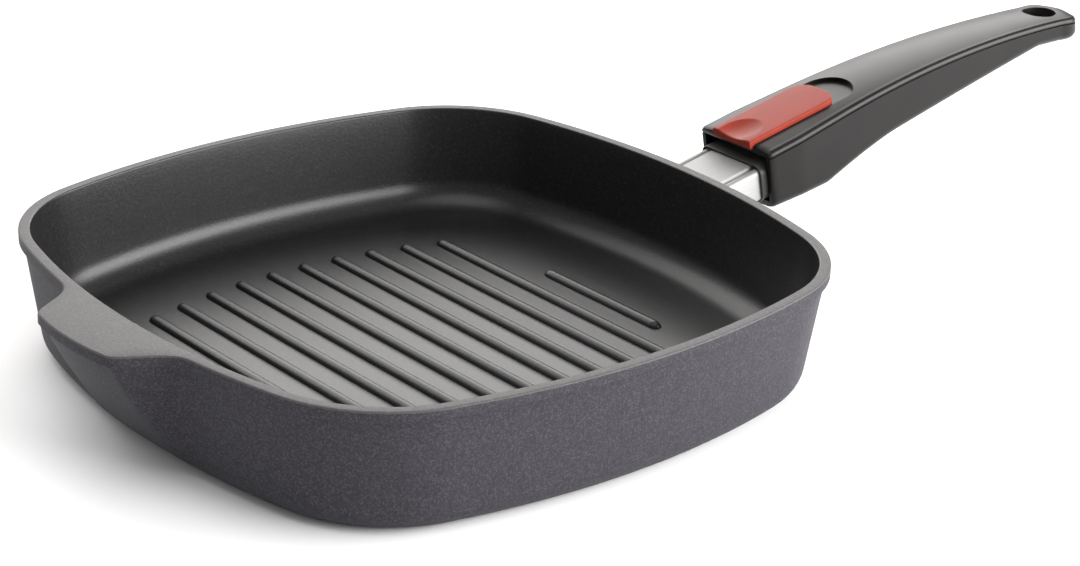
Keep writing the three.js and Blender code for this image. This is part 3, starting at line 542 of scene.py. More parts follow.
def arc(centre_y, centre_z, radius, start, end, steps, height=None):
    """Points on an arc, angles in degrees; a height other than the radius makes it elliptical."""
    height = radius if height is None else height
    turn = [math.radians(start + (end - start) * i / steps) for i in range(steps + 1)]
    return [(centre_y + radius * math.cos(a), centre_z + height * math.sin(a)) for a in turn]


def circle(radius, steps):
    """Points round a circle."""
    turn = [2 * math.pi * i / steps for i in range(steps)]
    return [(radius * math.cos(a), radius * math.sin(a)) for a in turn]


def quarter_turn(steps):
    """Angles of a quarter turn, without its start."""
    return [math.pi / 2 * i / steps for i in range(1, steps + 1)]


def stations(front, nose, rear, tail, tail_steps, tail_curve):
    """Places along a loft, close together at its rounded nose and tail."""
    start = [front + nose * (i / 5) ** 2 for i in range(6)]
    run = rear - tail - start[-1]
    middle = [start[-1] + run * i / 90 for i in range(1, 91)]
    end = [rear - tail * (1 - i / tail_steps) ** tail_curve for i in range(1, tail_steps + 1)]
    return start + middle + end


def mirrored(half):
    """Closed section from its right half, listed from the bottom middle round to the top middle."""
    left = [(-y, z) for y, z in reversed(half) if abs(y) > 1e-6]
    return half + left


def settle(piece, body, slot, *nodes):
    """Ride a finished piece on its body, in place of the frame's own nodes."""
    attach(piece, body)
    if nodes:
        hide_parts(*nodes)


# Bowl

SIDE_STEPS = 64
CORNER_STEPS = 28
FOOT_STEPS = 12
WALL_STEPS = 14
BAND_STEPS = 8
EDGE_STEPS = 4
INNER_WALL_STEPS = 9
INNER_FOOT_STEPS = 16
# The rim-top zone gets the lighter grey: painted light on faces turned up to the lamps
BOWL_FINISHES = ["outside_coat", "rim_coat", "inside_coat"]
OUTSIDE, RIM_TOP, INSIDE = range(3)


def smooth_fall(value, start, end):
    """One before start, nought after end, with an S-curve between."""
    t = min(max((value - start) / (end - start), 0.0), 1.0)
    return 1 - t * t * (3 - 2 * t)


def bowl_ring(inset, z, reach):
    """Outline of the bowl at a height in millimetres, with the front lip pushed out by a reach."""
    sizes = bpy.context.scene.grill_pan
    half = sizes.width / MM / 2 - inset
    bow = sizes.bow / MM - inset
    corner = sizes.corner / MM - inset + BASE_CORNER_GAIN * (1 - z * MM / sizes.height)
    behind = bow - half
    centre = (math.sqrt(2 * (bow - corner) ** 2 - behind ** 2) - behind) / 2
    swing = math.atan2(centre, centre + behind)
    quarter = []
    for j in range(SIDE_STEPS):
        angle = swing * (2 * j / SIDE_STEPS - 1)
        quarter.append((bow * math.cos(angle) - behind, bow * math.sin(angle)))
    for j in range(CORNER_STEPS):
        angle = swing + (math.pi / 2 - 2 * swing) * j / CORNER_STEPS
        quarter.append((centre + corner * math.cos(angle), centre + corner * math.sin(angle)))
    ring = []
    for turn in range(4):
        for x, y in quarter:
            for _ in range(turn):
                x, y = -y, x
            if reach > 0 and x < 0 and abs(y) < LIP_ROOT_HALF:
                bowed = reach * (1 - LIP_TIP_BOW / (sizes.lip / MM) * min((y / LIP_FLAT_HALF) ** 2, 1))
                x -= bowed * smooth_fall(abs(y), LIP_FLAT_HALF, LIP_ROOT_HALF) ** LIP_ROOT_FILLET
            ring.append(Vector((x * MM, y * MM, z * MM)))
    return ring


def foot_arc(inset, floor, radius, steps):
    """Arc from a level floor into the leaning wall, as (inset, height) pairs."""
    sweep = math.pi / 2 - WALL_SLOPE
    centre = inset + radius * math.tan(sweep / 2)
    turn = [-math.pi / 2 + sweep * i / steps for i in range(steps + 1)]
    return [(centre - radius * math.cos(a), floor + radius + radius * math.sin(a)) for a in turn]


def bowl_profile():
    """Rings as (inset, height, lip reach, finish): up the outside, over the rim and down to the floor."""
    sizes = bpy.context.scene.grill_pan
    height = sizes.height / MM
    floor = sizes.floor / MM
    rim = sizes.rim / MM
    lip = sizes.lip / MM - RIM_EDGE
    wall_top = height - RIM_BAND - RIM_OVERHANG
    band_bottom = height - RIM_BAND
    web_top = band_bottom - LIP_UNDERCUT
    slope = math.tan(WALL_SLOPE)

    def reach(z):
        if z >= band_bottom:
            return lip
        if z >= web_top:
            return lip - (band_bottom - z)
        fall = min((web_top - z) / (web_top - LIP_WEB_FOOT), 1.0)
        return (lip - LIP_UNDERCUT) * (1 - fall ** LIP_WEB_CURVE)

    outer_foot = foot_arc(RIM_OVERHANG + wall_top * slope, 0, BASE_FILLET, FOOT_STEPS)
    rows = [(inset, z, reach(z), OUTSIDE) for inset, z in outer_foot]
    start = outer_foot[-1][1]
    for i in range(1, WALL_STEPS + 1):
        z = start + (wall_top - start) * i / WALL_STEPS
        rows.append((RIM_OVERHANG + (wall_top - z) * slope, z, reach(z), OUTSIDE))
    for angle in quarter_turn(BAND_STEPS):
        z = wall_top + RIM_OVERHANG * math.sin(angle)
        rows.append((RIM_OVERHANG * math.cos(angle), z, reach(z), OUTSIDE))
    rows.append((0, height - RIM_EDGE, lip, OUTSIDE))
    for angle in quarter_turn(EDGE_STEPS):
        inset = RIM_EDGE * (1 - math.cos(angle))
        rows.append((inset, height - RIM_EDGE * (1 - math.sin(angle)), lip, RIM_TOP))
    rows.append((rim - RIM_EDGE, height, 0, RIM_TOP))
    for angle in quarter_turn(EDGE_STEPS):
        inset = rim - RIM_EDGE * (1 - math.sin(angle))
        rows.append((inset, height - RIM_EDGE * (1 - math.cos(angle)), 0, INSIDE))
    inner_foot = foot_arc(rim + (height - floor) * slope, floor, FLOOR_FILLET, INNER_FOOT_STEPS)
    end = inner_foot[-1][1]
    for i in range(1, INNER_WALL_STEPS):
        z = height - RIM_EDGE + (end - height + RIM_EDGE) * i / INNER_WALL_STEPS
        rows.append((rim + (height - z) * slope, z, 0, INSIDE))
    rows += [(inset, z, 0, INSIDE) for inset, z in reversed(inner_foot)]
    return rows


class GRILLPAN_OT_bowl(Operator):
    """Cast bowl with its rim and front lip"""
    bl_idname = "grillpan.bowl"
    bl_label = "Bowl"

    def execute(self, context):
        rows = bowl_profile()
        rings = [bowl_ring(inset, z, reach) for inset, z, reach, _ in rows]
        half = TANG_HALF - TANG_SHEET - LUG_CLEARANCE
        low = -TANG_TOP + TANG_SHEET + LUG_CLEARANCE
        high = TANG_TOP - TANG_TOP_SHEET - LUG_CLEARANCE
        lug = loft_faces(box((LUG_START, LUG_END), (-half, half), (low, high)))
        face_finish = [row[3] for row in rows[1:] for _ in rings[0]]
        face_finish += [OUTSIDE, INSIDE] + [OUTSIDE] * len(lug[1])
        bowl = mesh_piece("bowl", *joined(loft_faces(rings), lug), BOWL_FINISHES, face_finish, sharp=40)
        settle(bowl, "pan", "cast_coat", "pan_body")
        return {"FINISHED"}


# Geometry Nodes

SOCKETS = {
    int: "NodeSocketInt",
    float: "NodeSocketFloat",
    tuple: "NodeSocketVector",
    bpy.types.Material: "NodeSocketMaterial",
    bpy.types.Object: "NodeSocketObject",
}


def new_tree(name, values):
    """Geometry Nodes tree with an input for each value; returns the tree, its inputs and its output node."""
    tree = bpy.data.node_groups.new(name, "GeometryNodeTree")
    tree.interface.new_socket("Geometry", in_out="INPUT", socket_type="NodeSocketGeometry")
    tree.interface.new_socket("Geometry", in_out="OUTPUT", socket_type="NodeSocketGeometry")
    for label, value in values.items():
        tree.interface.new_socket(label, in_out="INPUT", socket_type=SOCKETS[type(value)])
    return tree, tree.nodes.new("NodeGroupInput").outputs, tree.nodes.new("NodeGroupOutput")


def end_tree(tree, geometry, size, result, smooth=False):
    """Realize the geometry, give it the tree's finish and send it out."""
    if smooth:
        geometry = add_node(tree, "GeometryNodeSetShadeSmooth", {"Geometry": geometry})
    solid = add_node(tree, "GeometryNodeRealizeInstances", {"Geometry": geometry})
    coat = add_node(tree, "GeometryNodeSetMaterial", {"Geometry": solid, "Material": size["Finish"]})
    tree.links.new(coat, result.inputs["Geometry"])
    return tree


def tree_piece(name, maker, values, points=()):
    """Piece from the tree that a maker builds, on points if it needs them, its inputs set by identifier."""
    tree = maker(values)
    mesh = bpy.data.meshes.new(name)
    mesh.from_pydata([tuple(p) for p in points], [], [])
    piece = new_object(name, mesh)
    step = piece.modifiers.new(tree.name, "NODES")
    step.node_group = tree
    for item in tree.interface.items_tree:
        if item.in_out == "INPUT" and item.name in values:
            step[item.identifier] = values[item.name]
    return evaluated(piece)


def maths(tree, operation, *values):
    """Result of a Math node whose inputs are links or numbers."""
    return add_node(tree, "ShaderNodeMath", dict(enumerate(values)), operation=operation)


def vector(tree, x, y, z):
    """Result of a Combine XYZ node whose inputs are links or numbers."""
    return add_node(tree, "ShaderNodeCombineXYZ", {"X": x, "Y": y, "Z": z})


def tube(tree, curve, radius, sides, **inputs):
    """Round tube along a curve, with its ends closed."""
    section = add_node(tree, "GeometryNodeCurvePrimitiveCircle", {"Resolution": sides, "Radius": radius})
    ends = {"Curve": curve, "Profile Curve": section, "Fill Caps": True}
    return add_node(tree, "GeometryNodeCurveToMesh", {**ends, **inputs})


def rib_tree(values):
    """Round-ended ribs on a pitch, their ends on an arc, and one short rib after the last."""
    tree, size, result = new_tree("Grill ribs", values)
    row = add_node(tree, "GeometryNodeMeshLine", {
        "Count": size["Count"],
        "Start Location": vector(tree, size["First"], 0.0, 0.0),
        "Offset": vector(tree, size["Pitch"], 0.0, 0.0),
    })
    x = add_node(tree, "ShaderNodeSeparateXYZ", {0: add_node(tree, "GeometryNodeInputPosition", {})})
    offset = maths(tree, "SUBTRACT", x, size["Arc centre"])
    twice = maths(tree, "MULTIPLY", size["Arc"], 2.0)
    drop = maths(tree, "DIVIDE", maths(tree, "MULTIPLY", offset, offset), twice)
    half = maths(tree, "SUBTRACT", size["Half"], drop)
    line = add_node(tree, "GeometryNodeCurvePrimitiveLine", {"Start": (0, -1, 0), "End": (0, 1, 0)})
    spots = {"Points": row, "Instance": line, "Scale": vector(tree, 1.0, half, 1.0)}
    copies = add_node(tree, "GeometryNodeInstanceOnPoints", spots)
    last = maths(tree, "MULTIPLY_ADD", size["Count"], size["Pitch"], size["First"])
    reach = maths(tree, "DIVIDE", size["Short"], 2.0)
    short = add_node(tree, "GeometryNodeCurvePrimitiveLine", {
        "Start": vector(tree, last, maths(tree, "SUBTRACT", size["Short y"], reach), 0.0),
        "End": vector(tree, last, maths(tree, "ADD", size["Short y"], reach), 0.0),
    })
    long = add_node(tree, "GeometryNodeRealizeInstances", {"Geometry": copies})
    lines = add_node(tree, "GeometryNodeJoinGeometry", {"Geometry": long})
    tree.links.new(short, lines.node.inputs["Geometry"])
    steps = add_node(tree, "GeometryNodeResampleCurve", {"Curve": lines, "Count": RIB_STEPS})
    along = add_node(tree, "GeometryNodeSplineParameter", {}, "Length")
    whole = add_node(tree, "GeometryNodeSplineLength", {})
    near = maths(tree, "MINIMUM", along, maths(tree, "SUBTRACT", whole, along))
    inward = maths(tree, "MINIMUM", maths(tree, "DIVIDE", near, size["Run-out"]), 1.0)
    short_fall = maths(tree, "SUBTRACT", 1.0, inward)
    rest = maths(tree, "SUBTRACT", RIB_END_FULLNESS, maths(tree, "MULTIPLY", short_fall, short_fall))
    share = maths(tree, "SQRT", maths(tree, "MINIMUM", rest, 1.0))
    across = maths(tree, "POWER", maths(tree, "DIVIDE", size["Width"], 2.0), 2.0)
    squares = maths(tree, "ADD", across, maths(tree, "POWER", size["Height"], 2.0))
    rounding = maths(tree, "DIVIDE", squares, maths(tree, "MULTIPLY", size["Height"], 2.0))
    ribs = tube(tree, steps, rounding, RIB_SIDES, Scale=share)
    sunk = maths(tree, "ADD", size["Floor"], maths(tree, "SUBTRACT", size["Height"], rounding))
    lift = vector(tree, 0.0, 0.0, sunk)
    seat = add_node(tree, "GeometryNodeTransform", {"Geometry": ribs, "Translation": lift})
    return end_tree(tree, seat, size, result, smooth=True)


class GRILLPAN_OT_ribs(Operator):
    """Grill ribs on the floor of the pan"""
    bl_idname = "grillpan.ribs"
    bl_label = "Grill ribs"

    def execute(self, context):
        size = context.scene.grill_pan
        ribs = tree_piece("grill_ribs", rib_tree, {
            "Count": size.rib_count, "Pitch": size.rib_pitch, "First": size.rib_first,
            "Width": size.rib_width, "Height": size.rib_height, "Half": size.rib_half,
            "Arc": size.rib_arc, "Arc centre": size.rib_arc_x, "Run-out": size.rib_run_out,
            "Floor": size.floor, "Short": size.short_rib, "Short y": size.short_rib_y,
            "Finish": finish("inside_coat"),
        })
        settle(ribs, "pan", "cast_coat")
        return {"FINISHED"}


# Tang and liner

def tang_section():
    """Section of the tang: round under edges, a bead along each shoulder and a flat top between grooves."""
    bead = (TANG_HALF - TANG_FLAT_HALF - TANG_GROOVE) / 2
    bead_z = TANG_TOP - TANG_SHOULDER_DROP - bead
    half = [(0, -TANG_TOP)]
    half += arc(TANG_HALF - TANG_CORNER, -TANG_TOP + TANG_CORNER, TANG_CORNER, -90, 0, 8)
    half += arc(TANG_HALF - bead, bead_z, bead, 0, TANG_BEAD_SWEEP, 12)
    groove_z = bead_z + bead * math.sin(math.radians(TANG_BEAD_SWEEP))
    edge = TANG_FLAT_HALF - TANG_FLAT_IN
    half.append((TANG_FLAT_HALF + TANG_GROOVE_FOOT, groove_z))
    half += [(edge + TANG_FLAT_EDGE, TANG_TOP - TANG_FLAT_EDGE), (edge, TANG_TOP), (0, TANG_TOP)]
    return mirrored(half)


def wall_start(y, w):
    """Place along the tang where a point of its section enters the pan's wall."""
    sizes = bpy.context.scene.grill_pan
    wall_top = sizes.height / MM - RIM_BAND - RIM_OVERHANG
    u = 0.0
    for _ in range(4):
        z = on_tang(u, y, w).z / MM
        bowed = y * y / (2 * sizes.bow / MM)
        out = -RIM_OVERHANG - (wall_top - z) * math.tan(WALL_SLOPE) - bowed - WALL_BITE
        u = (out + w * math.sin(TANG_TILT)) / math.cos(TANG_TILT)
    return u


class GRILLPAN_OT_tang(Operator):
    """Bright steel tang on the cast lug"""
    bl_idname = "grillpan.tang"
    bl_label = "Tang"

    def execute(self, context):
        section = tang_section()
        narrow = (TANG_HALF - TANG_SHEET) / TANG_HALF
        inner = []
        for y, w in section:
            sheet = TANG_TOP_SHEET if w > 0 else TANG_SHEET
            inner.append((y * narrow, w * (TANG_TOP - sheet) / TANG_TOP))
        end = [(y * TANG_END_NARROW, w * TANG_END_THIN) for y, w in section]
        rings = [[on_tang(wall_start(y, w), y, w) for y, w in section]]
        rings += tang_rings(section, (*TANG_STATIONS, TANG_END - TANG_END_EDGE))
        rings += tang_rings(end, [TANG_END])
        rings += tang_rings(inner, [TANG_END, LUG_END + 1])
        tang = loft_piece("tang", rings, ["polished_steel"], sharp=25)
        cut(tang, [cutter(box(*HOOK_WINDOW))])
        settle(tang, "pan", "bright_steel", "tang_sleeve")
        return {"FINISHED"}


def bore_cutter(u, y, radius, low, high):
    """Round cutter across the tang's axis."""
    ring = circle(radius, 32)
    return cutter([[on_tang(u + a, y + b, w) for a, b in ring] for w in (low, high)])


def bores(places, radius, low, high):
    """Round cutters of one size at places along and across the tang."""
    return [bore_cutter(u, y, radius, low, high) for u, y in places]


def rounded_box(half, top, corner, steps=10):
    """Rounded rectangle section about the tang's axis."""
    right = [(0, -top)] + arc(half - corner, -top + corner, corner, -90, 0, steps)
    right += arc(half - corner, top - corner, corner, 0, 90, steps) + [(0, top)]
    return mirrored(right)


class GRILLPAN_OT_liner(Operator):
    """Socket liner whose collar stands out of the handle's front"""
    bl_idname = "grillpan.liner"
    bl_label = "Socket liner"

    def execute(self, context):
        front = HANDLE_FRONT - COLLAR_OUT
        soft = COLLAR_EDGE
        outside = [(front, soft), (front + soft * 0.3, soft * 0.3), (front + soft, 0)]
        outside += [(HANDLE_FRONT, 0), (LINER_END, 0)]
        rings = []
        for u, inward in outside:
            ring = rounded_box(LINER_HALF - inward, LINER_TOP - inward, LINER_CORNER - inward)
            rings += tang_rings(ring, [u])
        for u, outward in [(LINER_END, 0), (front + soft, 0), (front, soft * 0.5)]:
            half = LINER_HALF - LINER_WALL + outward
            rings += tang_rings(rounded_box(half, LINER_TOP - LINER_WALL + outward, LINER_BORE_CORNER), [u])
        liner = loft_piece("socket_liner_sleeve", rings, ["liner_satin"], sharp=35, looped=True)
        cutters = [cutter(box(*HOOK_WINDOW))]
        cutters += bores(RIVETS[0], RIVETS[1], 0, CUT_ABOVE)
        cutters += bores(LINER_SCREWS[0], SCREW_SHANK, CUT_BELOW, 0)
        cut(liner, cutters, sharp=35)
        settle(liner, "handle", "liner_coat", "socket_liner")
        return {"FINISHED"}


# Handle

def top_at(u):
    """Height of the handle's upper edge."""
    return HANDLE_TOP - max(0.0, u - BEND_START) ** 2 / (2 * BEND_RADIUS)


def bottom_at(u):
    """Height of the handle's underside."""
    if u < BELLY_AT:
        return FRONT_BOTTOM + (BELLY_BOTTOM - FRONT_BOTTOM) * (u - HANDLE_FRONT) / (BELLY_AT - HANDLE_FRONT)
    rise = 1 - (1 - min(1.0, (u - BELLY_AT) / (GRIP_AT - BELLY_AT))) ** BELLY_CURVE
    return min(BELLY_BOTTOM + (GRIP_BOTTOM - BELLY_BOTTOM) * rise, top_at(u) - TAIL_DEPTH)


def handle_shape(u):
    """Half-width, top, bottom and crown of the handle at a station, rounded off at both ends."""
    taper = min(max((u - TAPER_START) / (TAPER_END - TAPER_START), 0.0), 1.0)
    nose = FRONT_ROUND * (1 - math.sqrt(min(max((u - HANDLE_FRONT) / FRONT_ROUND, 0.0), 1.0)))
    end = min(max((u - HANDLE_TIP + TIP_ROUND) / TIP_ROUND, 0.0), 1.0)
    half = TAIL_HALF + (FRONT_HALF - TAIL_HALF) * (1 - taper) ** TAPER_CURVE
    half = half * (1 - end ** TIP_CURVE) ** (1 / TIP_CURVE) - nose * FRONT_ROUND_SIDE + end * TIP_HALF
    squeeze = nose * FRONT_ROUND_TOP
    share = min(max((u - BEND_START) / (HANDLE_TIP - BEND_START), 0.0), 1.0)
    crown = FRONT_CROWN + (TAIL_CROWN - FRONT_CROWN) * share
    top = top_at(u) - squeeze - end ** TIP_DROP_CURVE
    bottom = bottom_at(u) + squeeze + TIP_LIFT * end ** TIP_LIFT_CURVE
    return half, top, bottom, crown


def cover_section(u):
    """Section of the cover: flat underside at the split, rounded edges and a crowned top."""
    half, top, _, crown = handle_shape(u)
    low = top_at(u) - COVER_EDGE + SPLIT_GAP / 2
    top = max(top, low + 4 * SPLIT_ROUND)
    edge = min(TOP_EDGE_IN, half * 0.5)
    drop = min(TOP_EDGE_DROP, top - low - 1.5 * SPLIT_ROUND)
    right = [(0, low), (half - SPLIT_ROUND, low), (half, low + SPLIT_ROUND)]
    right += arc(half - edge, top - drop, edge, 0, 84, 10, drop)
    flat = half - edge
    right += [(flat * (1 - i / 16), top + crown * (1 - (1 - i / 16) ** 2)) for i in range(17)]
    return mirrored(right)


def grip_section(u):
    """Section of the grip: rounded under edges, flat sides and a flat top at the split."""
    half, _, bottom, _ = handle_shape(u)
    high = top_at(u) - COVER_EDGE - SPLIT_GAP / 2
    under = min(UNDER_EDGE, half * 0.5)
    right = [(0, bottom), (half * 0.3, bottom)]
    right += arc(half - under, bottom + under, under, -90, 0, 12)
    right += [(half, (bottom + under + high) / 2), (half, high - SPLIT_ROUND), (half - SPLIT_ROUND, high)]
    right += [(half * 0.5, high), (0, high)]
    return mirrored(right)


def recess_cutter():
    """Slider's recess: open at the handle's front, round at the rear."""
    front = HANDLE_FRONT - CUT_PAST
    plan = [(front, -RECESS_HALF)]
    plan += arc(RECESS_END - RECESS_HALF, 0, RECESS_HALF, -90, 90, 40)
    plan.append((front, RECESS_HALF))
    return cutter([[on_tang(u, y, w) for u, y in plan] for w in (HANDLE_TOP - RECESS_DEPTH, CUT_ABOVE)])


def hole_cutter():
    """Upright round cutter at the hanging hole, flared where it meets the top and the underside."""
    u = HANDLE_TIP - HOLE_FROM_TIP
    centre = on_tang(u, 0, top_at(u))
    crown = handle_shape(u)[3]
    flare = arc(HOLE_LIP, HOLE_LIP, HOLE_LIP, 270, 180, 5)
    upper = [(HOLE_RADIUS + out, crown - down) for out, down in flare]
    lower = [(HOLE_RADIUS + out, down - TAIL_DEPTH) for out, down in reversed(flare)]
    wide = HOLE_RADIUS + HOLE_LIP
    rings = []
    for radius, z in [(wide, CUT_ABOVE)] + upper + lower + [(wide, CUT_BELOW)]:
        rings.append([centre + Vector((x, y, z)) * MM for x, y in circle(radius, 64)])
    return cutter(rings)


def cover_screw_seat(u):
    """Height of a cover screw's seat in the grip."""
    return top_at(u) - COVER_EDGE - COVER_BOSS_DEPTH - SPLIT_GAP - COVER_SCREW_WEB


LINER_SCREW_SEAT = -LINER_TOP - SEAT_GAP - LINER_SCREW_WEB


def cover_cuts():
    """Cutters for the slider's recess and for the slot of its stem."""
    half = STEM_HALF + SLOT_GAP
    slot = box((STEM_FRONT - SLOT_GAP, SLOT_REAR), (-half, half), (0, CUT_ABOVE))
    return [recess_cutter(), cutter(slot)]


def grip_cuts():
    """Cutters for the socket, the spring's bays and the screws."""
    half = LINER_HALF + SEAT_GAP
    low = -LINER_TOP - SEAT_GAP
    socket = ((HANDLE_FRONT - CUT_PAST, LINER_END + 2), (-half, half), (low, CUT_ABOVE))
    cuts = [cutter(box(*bay)) for bay in (socket, SPRING_BAY, PIN_BAY)]
    for u, y in COVER_SCREWS[0]:
        cuts.append(bore_cutter(u, y, COVER_SCREWS[1] + SCREW_CLEARANCE, CUT_BELOW, cover_screw_seat(u)))
    cuts += bores(COVER_SCREWS[0], SCREW_SHANK, CUT_BELOW, CUT_ABOVE)
    cuts += bores(LINER_SCREWS[0], LINER_SCREWS[1] + SCREW_CLEARANCE, CUT_BELOW, LINER_SCREW_SEAT)
    cuts += bores(LINER_SCREWS[0], SCREW_SHANK, CUT_BELOW, 0)
    return cuts


class GRILLPAN_OT_handle(Operator):
    """Grip and cover of the detachable handle"""
    bl_idname = "grillpan.handle"
    bl_label = "Handle"

    def execute(self, context):
        places = stations(HANDLE_FRONT, FRONT_ROUND, HANDLE_TIP, TIP_ROUND, 20, 1.6)
        shells = [
            ("cover", cover_section, cover_cuts, "handle_cover"),
            ("grip", grip_section, grip_cuts, "handle_grip"),
        ]
        for name, section, cuts, node in shells:
            rings = [[on_tang(u, y, w) for y, w in section(u)] for u in places]
            # Each shell's finish is its name with _black; the grip's is a darker copy of the cover's colour,
            # painted shade
            piece = loft_piece(name, rings, [name + "_black"])
            cut(piece, [hole_cutter()] + cuts(), sharp=35)
            settle(piece, "handle", "black_grip", node)
        return {"FINISHED"}


# Slider

def slider_section(u):
    """Section of the slider: flat foot, upright sides, soft edges and a top with the thumb dish in it."""
    bottom = HANDLE_TOP - RECESS_DEPTH + SEAT_GAP
    top = bottom + SLIDER_HEIGHT
    rear = SLIDER_FRONT + SLIDER_LENGTH
    into_corner = max(0.0, u - rear + SLIDER_REAR_CORNER)
    narrow = SLIDER_REAR_CORNER - math.sqrt(max(SLIDER_REAR_CORNER ** 2 - into_corner ** 2, 0.0))
    half = SLIDER_HALF - narrow
    from_end = min(u - SLIDER_FRONT, rear - u)
    soft = max(0.0, SLIDER_EDGE - from_end)
    drop = SLIDER_EDGE - math.sqrt(max(SLIDER_EDGE ** 2 - soft ** 2, 0.0))
    right = [(0, bottom), (half, bottom)]
    right += arc(half - SLIDER_EDGE, top - drop - SLIDER_EDGE, SLIDER_EDGE, 0, 90, 6)
    flat = half - SLIDER_EDGE
    dish_at = SLIDER_FRONT + DISH_FROM_FRONT
    for i in range(1, 25):
        y = flat * (1 - i / 24)
        spread_out = ((u - dish_at) / DISH_STRETCH) ** 2 + y * y
        dish = max(0.0, DISH_DEPTH - spread_out / (2 * DISH_RADIUS))
        crown = SLIDER_CROWN * (1 - (y / SLIDER_HALF) ** 2)
        right.append((y, top - drop + crown - dish))
    return mirrored(right)


class GRILLPAN_OT_slider(Operator):
    """Red release slider"""
    bl_idname = "grillpan.slider"
    bl_label = "Release slider"

    def execute(self, context):
        rear = SLIDER_FRONT + SLIDER_LENGTH
        places = stations(SLIDER_FRONT, SLIDER_EDGE, rear, SLIDER_REAR_CORNER, 24, 1.7)
        rings = [[on_tang(u, y, w) for y, w in slider_section(u)] for u in places]
        high = HANDLE_TOP - RECESS_DEPTH + SEAT_GAP + STEM_ROOT
        stem = loft_faces(box((STEM_FRONT, STEM_END), (-STEM_HALF, STEM_HALF), (STEM_FOOT, high)))
        slider = mesh_piece("thumb_slider", *joined(loft_faces(rings), stem), ["thumb_red"], sharp=38)
        settle(slider, "slider", "slider_red", "release_slider")
        return {"FINISHED"}


# Screws

def screw_tree(values):
    """One screw head on each point of a mesh, turned to the tang's tilt."""
    tree, size, result = new_tree("Screws", values)
    screw = add_node(tree, "GeometryNodeObjectInfo", {"Object": size["Screw"]}, "Geometry")
    turn = vector(tree, 0.0, maths(tree, "MULTIPLY", size["Tilt"], -1.0), 0.0)
    inputs = {"Points": size["Geometry"], "Instance": screw, "Rotation": turn}
    return end_tree(tree, add_node(tree, "GeometryNodeInstanceOnPoints", inputs), size, result)


def screw_head(radius, rise, domed):
    """Screw head that faces down, with a cross recess and a short shank."""
    if domed:
        profile = [(radius * 0.4, SCREW_STUB), (radius * 0.4, 0.0), (radius, 0.0)]
        profile += [(radius * math.cos(a), -rise * (0.3 + 0.7 * math.sin(a))) for a in (0.0, 0.5, 0.95, 1.3)]
    else:
        profile = [(radius * 0.5, SCREW_STUB), (radius * 0.5, rise)]
        profile += [(radius, rise * 0.25), (radius * 0.97, 0.0)]
    rings = [[Vector((x, -y, w)) * MM for x, y in circle(r, 32)] for r, w in profile]
    head = loft_piece("screw_head", rings, ["polished_steel"])
    face = profile[-1][1]
    ends = (face - 1.0, face + min(1.0, rise * 0.6))
    arm, bar = radius * 0.55, radius * 0.13
    cross = []
    for a, b in ((arm, bar), (bar, arm)):
        corners = [(-a, -b), (a, -b), (a, b), (-a, b)]
        cross.append(cutter([[Vector((x, y, w)) * MM for x, y in corners] for w in ends]))
    return cut(head, cross)


class GRILLPAN_OT_screws(Operator):
    """Screws that show from below"""
    bl_idname = "grillpan.screws"
    bl_label = "Screws"

    def execute(self, context):
        kinds = [
            ("tang_screws", TANG_SCREWS, lambda u: -TANG_TOP, False, "pan", "bright_steel",
             ["tang_screw_front", "tang_screw_rear"]),
            ("cover_screws", COVER_SCREWS, cover_screw_seat, True, "handle", "spring_steel",
             ["cover_screw_front", "cover_screw_rear"]),
            ("liner_screws", LINER_SCREWS, lambda u: LINER_SCREW_SEAT, True, "handle", "spring_steel",
             ["liner_screw_left", "liner_screw_right"]),
        ]
        for name, (places, radius, rise), seat, domed, body, slot, nodes in kinds:
            head = screw_head(radius, rise, domed)
            points = [on_tang(u, y, seat(u)) for u, y in places]
            values = {"Screw": head, "Tilt": TANG_TILT, "Finish": finish("plain_steel")}
            screws = tree_piece(name, screw_tree, values, points)
            bpy.data.objects.remove(head)
            settle(screws, body, slot, *nodes)
        return {"FINISHED"}


# Spring and latch

def spring_tree(values):
    """Coil of round wire, turned from upright to lie along the tang's axis."""
    tree, size, result = new_tree("Return spring", values)
    coil = add_node(tree, "GeometryNodeCurveSpiral", {
        "Resolution": 28,
        "Rotations": size["Turns"],
        "Start Radius": size["Radius"],
        "End Radius": size["Radius"],
        "Height": size["Length"],
    })
    wire = tube(tree, coil, maths(tree, "DIVIDE", size["Wire"], 2.0), 10)
    turn = vector(tree, 0.0, maths(tree, "SUBTRACT", math.pi / 2, size["Tilt"]), 0.0)
    place = {"Translation": size["Place"], "Rotation": turn}
    seat = add_node(tree, "GeometryNodeTransform", {"Geometry": wire, **place})
    return end_tree(tree, seat, size, result, smooth=True)


class GRILLPAN_OT_spring(Operator):
    """Return spring: a coil of round wire behind the slider"""
    bl_idname = "grillpan.spring"
    bl_label = "Return spring"

    def execute(self, context):
        spring = tree_piece("coil_spring", spring_tree, {
            "Turns": float(SPRING_TURNS), "Radius": (SPRING_DIAMETER - SPRING_WIRE) / 2 * MM,
            "Length": (SPRING_LENGTH - SPRING_WIRE) * MM, "Wire": SPRING_WIRE * MM, "Tilt": TANG_TILT,
            "Place": tuple(on_tang(SPRING_FRONT + SPRING_WIRE / 2, 0, SPRING_HEIGHT)),
            "Finish": finish("plain_steel"),
        })
        settle(spring, "handle", "spring_steel", "return_spring")
        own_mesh(spring)
        return {"FINISHED"}


